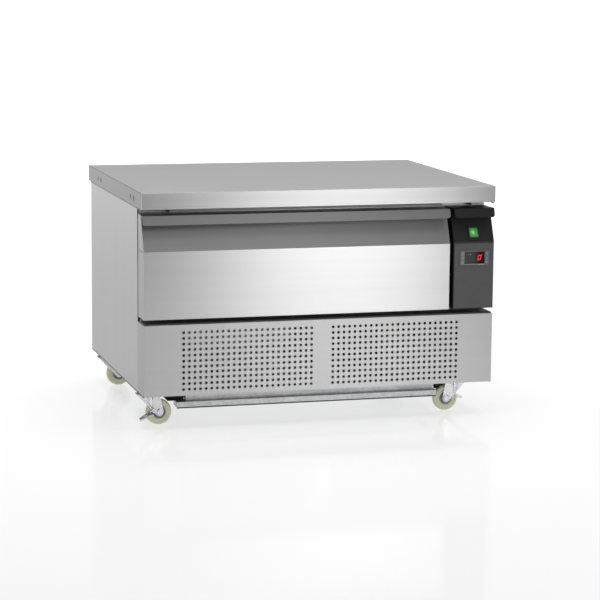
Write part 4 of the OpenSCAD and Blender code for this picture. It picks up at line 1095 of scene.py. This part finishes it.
# Painted shade: black channels darken the openings beside the tray.
channels = bmesh.new()
for x0, x1 in ((-371.5, -328.5), (321.5, 346.5)):
    add_block(channels, place_at(x0, -274.5, 57.8), place_at(x1, -100, 59.4), 0.4 * mm, 2)
    add_block(channels, place_at(x0, -274.5, 82.9), place_at(x1, -100, 84.5), 0.4 * mm, 2)
    add_block(channels, place_at(x0, -262, 59.4), place_at(x1, -260.4, 82.9), 0.4 * mm, 2)
new_piece("painted_shade_channels", channels, "cover_black")
print("weld marks:", 4 * len(weld_places))

# %% [markdown]
# The compressor is a steel pot, drawn in two halves and welded together at a flange round its middle. Its
# domed ends hold the pressure. It is turned from one profile, with the flange's two lips in it, and has
# a round flat seat and two small studs on top.

# %% Compressor pot
pot_middle = place_at(170, -70, 80.2)
pot_profile = ((0, 1), (38, 0.4), (52, 3.2), (62.5, 11), (69, 24), (71.6, 42), (72, 60), (72, 70.8),
               (74, 71.6), (74, 74.6), (73.2, 75), (74, 75.4), (74, 78.4), (72, 79.2), (72, 92),
               (71.4, 110), (68.6, 127), (61.5, 140), (50.5, 147.5), (36, 149.8), (0, 150))
pot = bmesh.new()
add_turned(pot, in_mm(pot_profile), pot_middle, (0, 0, 1), 96)
for x, y, r in ((-18, 22.8, 3.2), (-7.2, 31.2, 3.2), (0, 0, 9)):
    add_turned(pot, in_mm(((r, 148), (r, 149.4), (0, 149.4))), pot_middle + place_at(x, y, 0), (0, 0, 1), 24)
pot_piece = new_piece("compressor_pot", pot, "compressor_black", crease=35)
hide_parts("compressor")
print("pot:", 2 * max(radius for radius, height in pot_profile), "mm across")

# %% [markdown]
# The foot plate is a pressed sheet with round corners and two ribs, and a bolt goes through it into each
# rubber foot. Two bolts have hexagon heads and two have round ones. The feet are turned with grooves, which
# let them give a little.

# %% Foot plate and feet
half_x, half_y, plate_corner = 83.5, 57.5, 14
foot_x, foot_y = 70, 44
outline = []
for cx, cy, start in ((1, 1, 0), (-1, 1, 90), (-1, -1, 180), (1, -1, 270)):
    outline += arc(cx * (half_x - plate_corner), cy * (half_y - plate_corner), plate_corner,
                   start, start + 90)
foot_plate = bmesh.new()
plate_spot = Matrix.Translation(pot_middle + place_at(0, 0, -2.9))
add_plate(foot_plate, in_mm(outline), plate_spot, 2.8 * mm, 0.5 * mm)
for y in (-foot_y, foot_y):
    ends = [pot_middle + place_at(x, y, 0) for x in (-52, 52)]
    add_tube(foot_plate, ends, 2.2 * mm, 12)
bolt_profile = ((0, 5.6), (3.4, 5.4), (5, 4.2), (5, 1.2), (8.5, 1.2), (8.5, 0), (0, 0))
foot_profile = ((4.8, 0), (12.4, 0), (13, 1), (13, 3), (10.4, 4.6), (10.4, 6.4), (12.6, 8), (12.6, 10),
                (10.2, 11.6), (10.2, 13), (12, 14.4), (12, 16.4), (11, 17.4), (4.8, 17.4))
feet_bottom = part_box("compressor_feet")[0].z
feet = bmesh.new()
for sx in (-1, 1):
    for sy in (-1, 1):
        spot = pot_middle + place_at(sx * foot_x, sy * foot_y, 0.2)
        add_turned(foot_plate, in_mm(bolt_profile), spot, (0, 0, 1), 6 if sx * sy > 0 else 24)
        add_turned(feet, in_mm(foot_profile), (spot.x, spot.y, feet_bottom), (0, 0, 1), 32, closed=True)
new_piece("compressor_plate", foot_plate, "zinc_sheet")
feet_piece = new_piece("feet", feet, "rubber", crease=35)
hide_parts("compressor_feet")
print("feet:", 4, "at", foot_x, "and", foot_y, "mm from the pot's middle")

# %% [markdown]
# The terminals hide under a moulded cover with a raised field, and a bent wire clip holds it on the pot.

# %% Terminal cover and clip
terminals = bmesh.new()
for low, high, ease, rings in (((-27, -95.5, 45.5), (27, -60, 104.5), 5, 4),
                               ((-21, -96, 52), (21, -94.6, 98), 0.6, 2)):
    add_block(terminals, pot_middle + place_at(*low), pot_middle + place_at(*high), ease * mm, rings)
new_piece("compressor_terminals", terminals, "bezel_black")
clip = bmesh.new()
clip_path = ((-28, -62, 76), (-28, -95.7, 76), (28, -95.7, 76), (28, -62, 76))
add_tube(clip, rounded([pot_middle + place_at(*point) for point in clip_path], 5 * mm), 1.2 * mm, 8)
new_piece("compressor_clip", clip, "zinc_plate")
print("clip:", clip_path[-1][0] - clip_path[0][0], "mm wide")

# %% [markdown]
# A finned coil is a stack of thin aluminium plates pushed over copper tubes. The tubes run back and forth,
# joined by bends outside the end plates. The fins are a few millimetres apart, which a solid block could
# never show, so each one is made.

# %% Coils
condenser_fins, evaporator_fins = 74, 66
end_plate, fin_sheet = 0.75 * mm, 0.12 * mm
bend_reach = 4 * mm


def finned_coil(name, node, low, high, along, fins, rows, tube_r=3.8 * mm):
    low, high = place_at(*low), place_at(*high)
    other = 1 - along
    start, end = low[along], high[along]
    plates = bmesh.new()
    for k in range(fins):
        spot = start + (end - start) * k / (fins - 1)
        thick = end_plate if k in (0, fins - 1) else fin_sheet
        a, b = low.copy(), high.copy()
        a[along], b[along] = spot - thick, spot + thick
        add_block(plates, a, b)
    stack = new_piece(name + "_fins", plates, "aluminium")
    tubes = bmesh.new()
    step = (high.z - low.z) / rows
    for share in (0.28, 0.72):
        line = low[other] + (high[other] - low[other]) * share
        path = []
        for row in range(rows):
            ends = [start - bend_reach, end + bend_reach]
            for x in ends if row % 2 == 0 else reversed(ends):
                point = Vector((0, 0, low.z + (row + 0.5) * step))
                point[along], point[other] = x, line
                path.append(point)
        add_tube(tubes, rounded(path, step * 0.49, 6), tube_r, 12)
    new_piece(name + "_tubes", tubes, "copper")
    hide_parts(node)


finned_coil("condenser", "condenser_coil", (-300, -245.4, 59.6), (-98, -206.6, 189.6), along_x,
            condenser_fins, rows=5)
finned_coil("evaporator", "evaporator_coil", (345, -148, 304), (383, 118, 491), along_y,
            evaporator_fins, rows=6)
print("fins:", condenser_fins + evaporator_fins)

# %% [markdown]
# A fan blade is a thin twisted paddle. It is steep near the hub, where it moves slowly, and flat near the
# tip, where it moves fast, and its back edge trails like a sickle. Five of them are bent from one formula.

# %% Fan wheels
def blade_rows(tip_r, hub_r, hub_h, lengths=8, widths=6):
    rows = []
    for k in range(lengths + 1):
        share = k / lengths
        radius = hub_r - 1 + (tip_r - hub_r + 1) * share
        pitch = math.radians(38 - 20 * share)
        chord = (0.44 + 0.3 * math.sin(math.pi * min(share, 0.8))) * tip_r
        sweep = 0.2 * share ** 2
        row = []
        for n in range(widths + 1):
            across = (n / widths - 0.5) * chord
            camber = 0.07 * chord * (1 - (2 * n / widths - 1) ** 2)
            angle = across * math.cos(pitch) / radius + sweep
            height = hub_h / 2 + across * math.sin(pitch) + camber
            row.append(place_at(radius * math.cos(angle), radius * math.sin(angle),
                                max(0.6, min(hub_h - 0.6, height))))
        rows.append(row)
    return rows


def add_blade(shape, spot, rows, half_thick=0.5 * mm):
    upper, under = (
        [[shape.verts.new(spot @ (point + Vector((0, 0, lift)))) for point in row] for row in rows]
        for lift in (half_thick, -half_thick)
    )
    last_row, last_point = len(rows) - 1, len(rows[0]) - 1
    for skin in (upper, under):
        for one, two in zip(skin, skin[1:]):
            for n in range(last_point):
                shape.faces.new((one[n], one[n + 1], two[n + 1], two[n]))
    for k in range(last_row):
        for n in (0, last_point):
            shape.faces.new((upper[k][n], upper[k + 1][n], under[k + 1][n], under[k][n]))
    for n in range(last_point):
        for k in (0, last_row):
            shape.faces.new((upper[k][n], upper[k][n + 1], under[k][n + 1], under[k][n]))


def fan_wheel(name, node, hub, way, tip_r, hub_r, hub_h, finish, body, blades=5):
    spot = Matrix.Translation(place_at(*hub)) @ Vector(way).to_track_quat("Z", "Y").to_matrix().to_4x4()
    shape = bmesh.new()
    rows = blade_rows(tip_r, hub_r, hub_h)
    for blade in range(blades):
        add_blade(shape, spot @ Matrix.Rotation(2 * math.pi * blade / blades, 4, "Z"), rows)
    hub_rings = ((0, hub_h), (hub_r * 0.55, hub_h), (hub_r * 0.9, hub_h * 0.93), (hub_r, hub_h * 0.8),
                 (hub_r, 1), (hub_r - 1, 0), (0, 0))
    add_turned(shape, in_mm(hub_rings), spot.translation, spot.to_3x3() @ Vector((0, 0, 1)), 40)
    wheel = new_piece(name, shape, finish, body, 40)
    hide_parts(node)


fan_wheel("condenser_wheel", "condenser_fan_blade", (-190, -168, 124.6), (0, -1, 0), tip_r=53, hub_r=15,
          hub_h=20, finish="aluminium", body="condenser_fan")
fan_wheel("evaporator_wheel", "evaporator_fan_blade", (312.2, -60, 434), (-1, 0, 0), tip_r=46, hub_r=12,
          hub_h=12, finish="fan_black", body="evaporator_fan")
print("fan wheels:", 2)

# %% [markdown]
# A small fan motor is a closed drum with cooling ribs round it, so the ribs are part of its turned profile.
# The big fan also has a pressed ring, whose rolled mouth leads the air to the blades' tips.

# %% Fan motors and ring
def fan_motor_shell(name, base, way, radius, height, ribs=6):
    shell = bmesh.new()
    skin, crown = radius + 0.3, radius + 1.1
    rings = [(0, 0), (radius * 0.8, 0), (radius * 0.96, height * 0.05), (skin, height * 0.14)]
    for k in range(ribs):
        level = height * (0.2 + 0.1 * k)
        rings += [(skin, level), (crown, level + height * 0.02), (crown, level + height * 0.06),
                  (skin, level + height * 0.08)]
    rings += [(skin, height * 0.88), (radius * 0.94, height * 0.97), (radius * 0.4, height * 1.004),
              (0, height * 1.004)]
    add_turned(shell, in_mm(rings), place_at(*base), way, 64)
    new_piece(name, shell, "zinc_sheet", crease=30)


eased("condenser_fan_motor", 0.4 * mm, 2, 2 * mm)
eased("evaporator_fan_motor", 0.4 * mm, 2, 2 * mm)
fan_motor_shell("condenser_motor_shell", (-190, -122, 124.6), (0, -1, 0), radius=27.5, height=44)
fan_motor_shell("evaporator_motor_shell", (339.2, -60, 434), (-1, 0, 0), radius=19.5, height=24)
eased("condenser_shroud", 0.8 * mm, 2, 3 * mm)
ring = bmesh.new()
bell = ((57.2, -1), (57.2, 2.2), (58, 3.2), (60, 3.6), (61.6, 3.2), (62, 2), (62, 0.2))
add_turned(ring, in_mm(bell), place_at(-190, -166, 124.6), (0, 1, 0), 96)
new_piece("fan_ring", ring, "zinc_sheet", crease=30)
print("fan ring:", 2 * bell[0][0], "mm inside")

# %% [markdown]
# Copper tube is bent, never mitred, so each line runs through its corners in a curve. The corners of the
# CAD model's lines are the same, so the tubes stay where the solids are. The filter drier is a short fat
# tube with its ends spun down, and each joint has a small collar of solder.

# %% Copper lines
hot_gas = ((95.8, -70, 155.2), (68, -70, 155.2), (68, -226, 155.2), (-95.7, -226, 155.2))
to_drier = ((-95.7, -226, 84), (20, -226, 84))
liquid = ((110, -226, 84), (292, -226, 84), (292, 150, 84), (292, 150, 246), (346, 150, 246), (346, 150, 333))
suction = ((244.2, -70, 155.2), (272, -70, 155.2), (272, -70, 232), (272, 126, 232), (362, 126, 232),
           (362, 150, 232), (362, 150, 333))
routes = ((hot_gas, 4, 16), (to_drier, 4, 10), (liquid, 3, 14), (suction, 5, 11.5))
drier = ((4.2, -3), (5.4, -1), (5.8, 3), (9, 9), (10, 13), (10, 20), (10.05, 21), (10, 22), (10, 68),
         (10.05, 69), (10, 70), (10, 77), (9, 81), (5.8, 87), (5, 91), (3.4, 93))
lines = bmesh.new()
for path, radius, bend in routes:
    add_tube(lines, rounded([place_at(*point) for point in path], bend * mm, 7), radius * mm, 16)
add_turned(lines, in_mm(drier), place_at(*to_drier[-1]), (1, 0, 0), 32)
for path, radius in ((hot_gas, 4), (suction, 5), (liquid, 3)):
    collar = ((radius, 0), (radius + 1.1, 1), (radius + 1.3, 3.5), (radius + 0.7, 6), (radius, 7))
    for point, toward in ((path[0], path[1]), (path[-1], path[-2])):
        way = (Vector(toward) - Vector(point)).normalized()
        add_turned(lines, in_mm(collar), place_at(*point), way, 20)
copper_piece = new_piece("copper_lines", lines, "copper", crease=50)
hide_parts("refrigerant_pipes")
print("copper lines:", len(routes))

# %% [markdown]
# Melted frost runs down a short ribbed hose into the tray above the machine. Its rib profile is one closed
# line of radius and height, with the bore on the inside, so the hose is open at both ends.

# %% Drain hose
bore, skin, crown, hose_length = 7.6, 9.4, 10, 88
ribs = 20
rings = [(bore, 0), (skin, 0)]
for k in range(ribs):
    level = 2 + k * 4.2
    rings += [(skin, level), (crown, level + 0.9), (crown, level + 2.1), (skin, level + 3)]
rings += [(skin, hose_length), (bore, hose_length)]
hose = bmesh.new()
add_turned(hose, in_mm(rings), place_at(-150, -130, 214), (0, 0, 1), 32, closed=True)
hose_piece = new_piece("drain_hose", hose, "pale_plastic", crease=30)
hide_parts("drain_tube")
print("hose ribs:", ribs)

# %% [markdown]
# The electrical box is moulded, with ribs on its sides for stiffness and a lid held by four screws.

# %% Electrical box
eased("electrical_box", 1.4 * mm, 3, 3 * mm)
box_low, box_high = (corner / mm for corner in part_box("electrical_box"))
lid_screw = ((0, -0.1), (1.4, -0.1), (1.5, -0.6), (3.4, -0.6), (3.6, -2), (0, -2))
box_ribs, rib_step, screw_in = 7, 15, 8
trim = bmesh.new()
for k in range(box_ribs):
    x = box_low.x + rib_step * (k + 1)
    add_block(trim, place_at(x - 0.9, box_low.y + 1.4, box_low.z + 6),
              place_at(x + 0.9, box_low.y + 3.4, box_high.z - 8), 0.4 * mm, 2)
for x in (box_low.x + screw_in, box_high.x - screw_in):
    for y in (box_low.y + screw_in, box_high.y - screw_in):
        add_turned(trim, in_mm(lid_screw), place_at(x, y, box_high.z), (0, 0, 1), 24)
new_piece("box_trim", trim, "box_grey")
print("box:", [round(v) for v in box_high - box_low], "mm")

# %% [markdown]
# The cable gland has a hexagon body and a domed nut with grips, which squeezes a rubber ring on the cable.

# %% Cable gland
eased("cable_gland", 0.6 * mm, 2, 2 * mm)
gland_place = Matrix.Translation(place_at(250, 341, 150))
gland_grips = 12
grips = bmesh.new()
for k in range(gland_grips):
    turned = Matrix.Rotation(2 * math.pi * k / gland_grips, 4, "Y")
    add_block(grips, place_at(8.2, 5.2, -0.8), place_at(9.6, 8.6, 0.8), 0.3 * mm, 2,
              gland_place @ turned)
new_piece("gland_grips", grips, "cover_black")
print("gland grips:", gland_grips)

# %% [markdown]
# Each panel screw has a domed head with a cross recess. The recess is cut once, with a boolean modifier on
# one head, and that head is then copied to every screw's place. The two on the control cover are smaller.
# A screw never stops at the same angle as its neighbour, so each at the back is turned differently.

# %% Panel screws
def cross_head():
    head = bmesh.new()
    dome = ((0, 1.95), (1.4, 1.85), (2.7, 1.4), (3.6, 0.7), (3.95, 0), (0, 0))
    add_turned(head, in_mm(dome), (0, 0, 0), (0, 0, 1), 40)
    cutter = bmesh.new()
    for turned_by in (0, math.pi / 2):
        add_block(cutter, place_at(-2, -0.45, 0.7), place_at(2, 0.45, 3), 0, 1,
                  Matrix.Rotation(turned_by, 4, "Z"))
    items = []
    for name, shape in (("cross_head", head), ("cross_cutter", cutter)):
        bmesh.ops.recalc_face_normals(shape, faces=shape.faces)
        mesh = bpy.data.meshes.new(name)
        shape.to_mesh(mesh)
        shape.free()
        item = bpy.data.objects.new(name, mesh)
        scene.collection.objects.link(item)
        items.append(item)
    head_item, cutter_item = items
    cut = head_item.modifiers.new("recess", "BOOLEAN")
    cut.operation = "DIFFERENCE"
    cut.use_self = True
    cut.object = cutter_item
    result = bpy.data.meshes.new_from_object(head_item.evaluated_get(bpy.context.evaluated_depsgraph_get()))
    for item in items:
        bpy.data.objects.remove(item)
    return result


recessed = cross_head()
to_rear = Matrix.Rotation(math.radians(-90), 4, "X")
to_left = Matrix.Rotation(math.radians(-90), 4, "Y")
places = []
for x in (-436, 436):
    for z in (105, 232, 372, 520):
        stopped_at = Matrix.Rotation(math.radians(17 * (z % 7)), 4, "Z")
        places.append(Matrix.Translation(place_at(x, 341, z)) @ to_rear @ stopped_at)
places += [Matrix.Translation(place_at(340, -328, z)) @ to_left @ Matrix.Scale(0.4, 4) for z in (338, 357)]
screws = bmesh.new()
for place in places:
    start = len(screws.verts)
    screws.from_mesh(recessed)
    screws.verts.ensure_lookup_table()
    bmesh.ops.transform(screws, verts=screws.verts[start:], matrix=place)
screws_piece = new_piece("screws", screws, "zinc_plate", crease=30)
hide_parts("panel_screws")
print("screws:", len(places))

# %% [markdown]
# The drawer's seal is a soft bellows: a base that clips to the liner, two thin folds and a flat lip with a
# magnet strip in it. Its profile is swept round the drawer's back as four mitred runs, from the corners of
# the CAD seal, so it keeps that seal's depth.

# %% Drawer seal
seal_low, seal_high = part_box("drawer_seal")
seal_profile = ((0, 0), (0, 1.8), (1.6, 2.6), (0.6, 4.6), (1.6, 6.8), (0, 8.4), (0, 11.3), (1, 11.7),
                (11, 11.7), (12, 11.3), (12, 8.4), (10.4, 6.8), (11.4, 4.6), (10.4, 2.6), (12, 1.8), (12, 0))
profile_depth = max(level for inset, level in seal_profile)
seal = bmesh.new()
loops = []
for inset, level in seal_profile:
    y = seal_low.y + (seal_high.y - seal_low.y) * level / profile_depth
    x0, x1 = seal_low.x + inset * mm, seal_high.x - inset * mm
    z0, z1 = seal_low.z + inset * mm, seal_high.z - inset * mm
    loops.append([seal.verts.new(v) for v in ((x0, y, z0), (x1, y, z0), (x1, y, z1), (x0, y, z1))])
loops.append(loops[0])
bridge(seal, loops)
seal_piece = new_piece("seal_bellows", seal, "rubber", "drawer", 28)
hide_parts("drawer_seal")
print("seal depth:", round((seal_high.y - seal_low.y) / mm, 1), "mm")

# %% [markdown]
# The drawer's frame, the runners and the sheets that only show from behind, from below or with the drawer
# out are eased too, on a smaller radius, because they are thinner.

# %% Eased frames and runners
thin_sheets = (
    ("drawer_frame", 0.5), ("drawer_front_liner", 0.4), ("evaporator_cover", 0.4), ("base_frame", 0.5),
    ("back_panel", 0.4), ("runner_outer", 0.3), ("runner_middle", 0.3), ("runner_inner", 0.3),
    ("castor_plates", 0.6),
)
for node, radius in thin_sheets:
    eased(node, radius * mm, 2, 4 * mm)
print("eased:", len(shown_as))

# %% [markdown]
# Each runner glides on two rows of steel balls, which show between its members once the drawer is out.
# They ride with the middle runner.

# %% Runner balls
balls_in_row, ball_step, ball_radius = 24, 20 * mm, 1.2 * mm
row_apart = 19.4 * mm
slide_low, slide_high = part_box("runner_middle")
row_middle = (slide_low.z + slide_high.z) / 2
balls = bmesh.new()
for x in (-388.7, 287.7):
    for z in (row_middle - row_apart, row_middle + row_apart):
        for k in range(balls_in_row):
            place = (x * mm, slide_low.y + 30 * mm + k * ball_step, z)
            bmesh.ops.create_uvsphere(balls, u_segments=10, v_segments=6, radius=ball_radius,
                                      matrix=Matrix.Translation(place))
new_piece("runner_balls", balls, "zinc_plate", "runner_slide", 60)
print("runner balls:", 4 * balls_in_row)
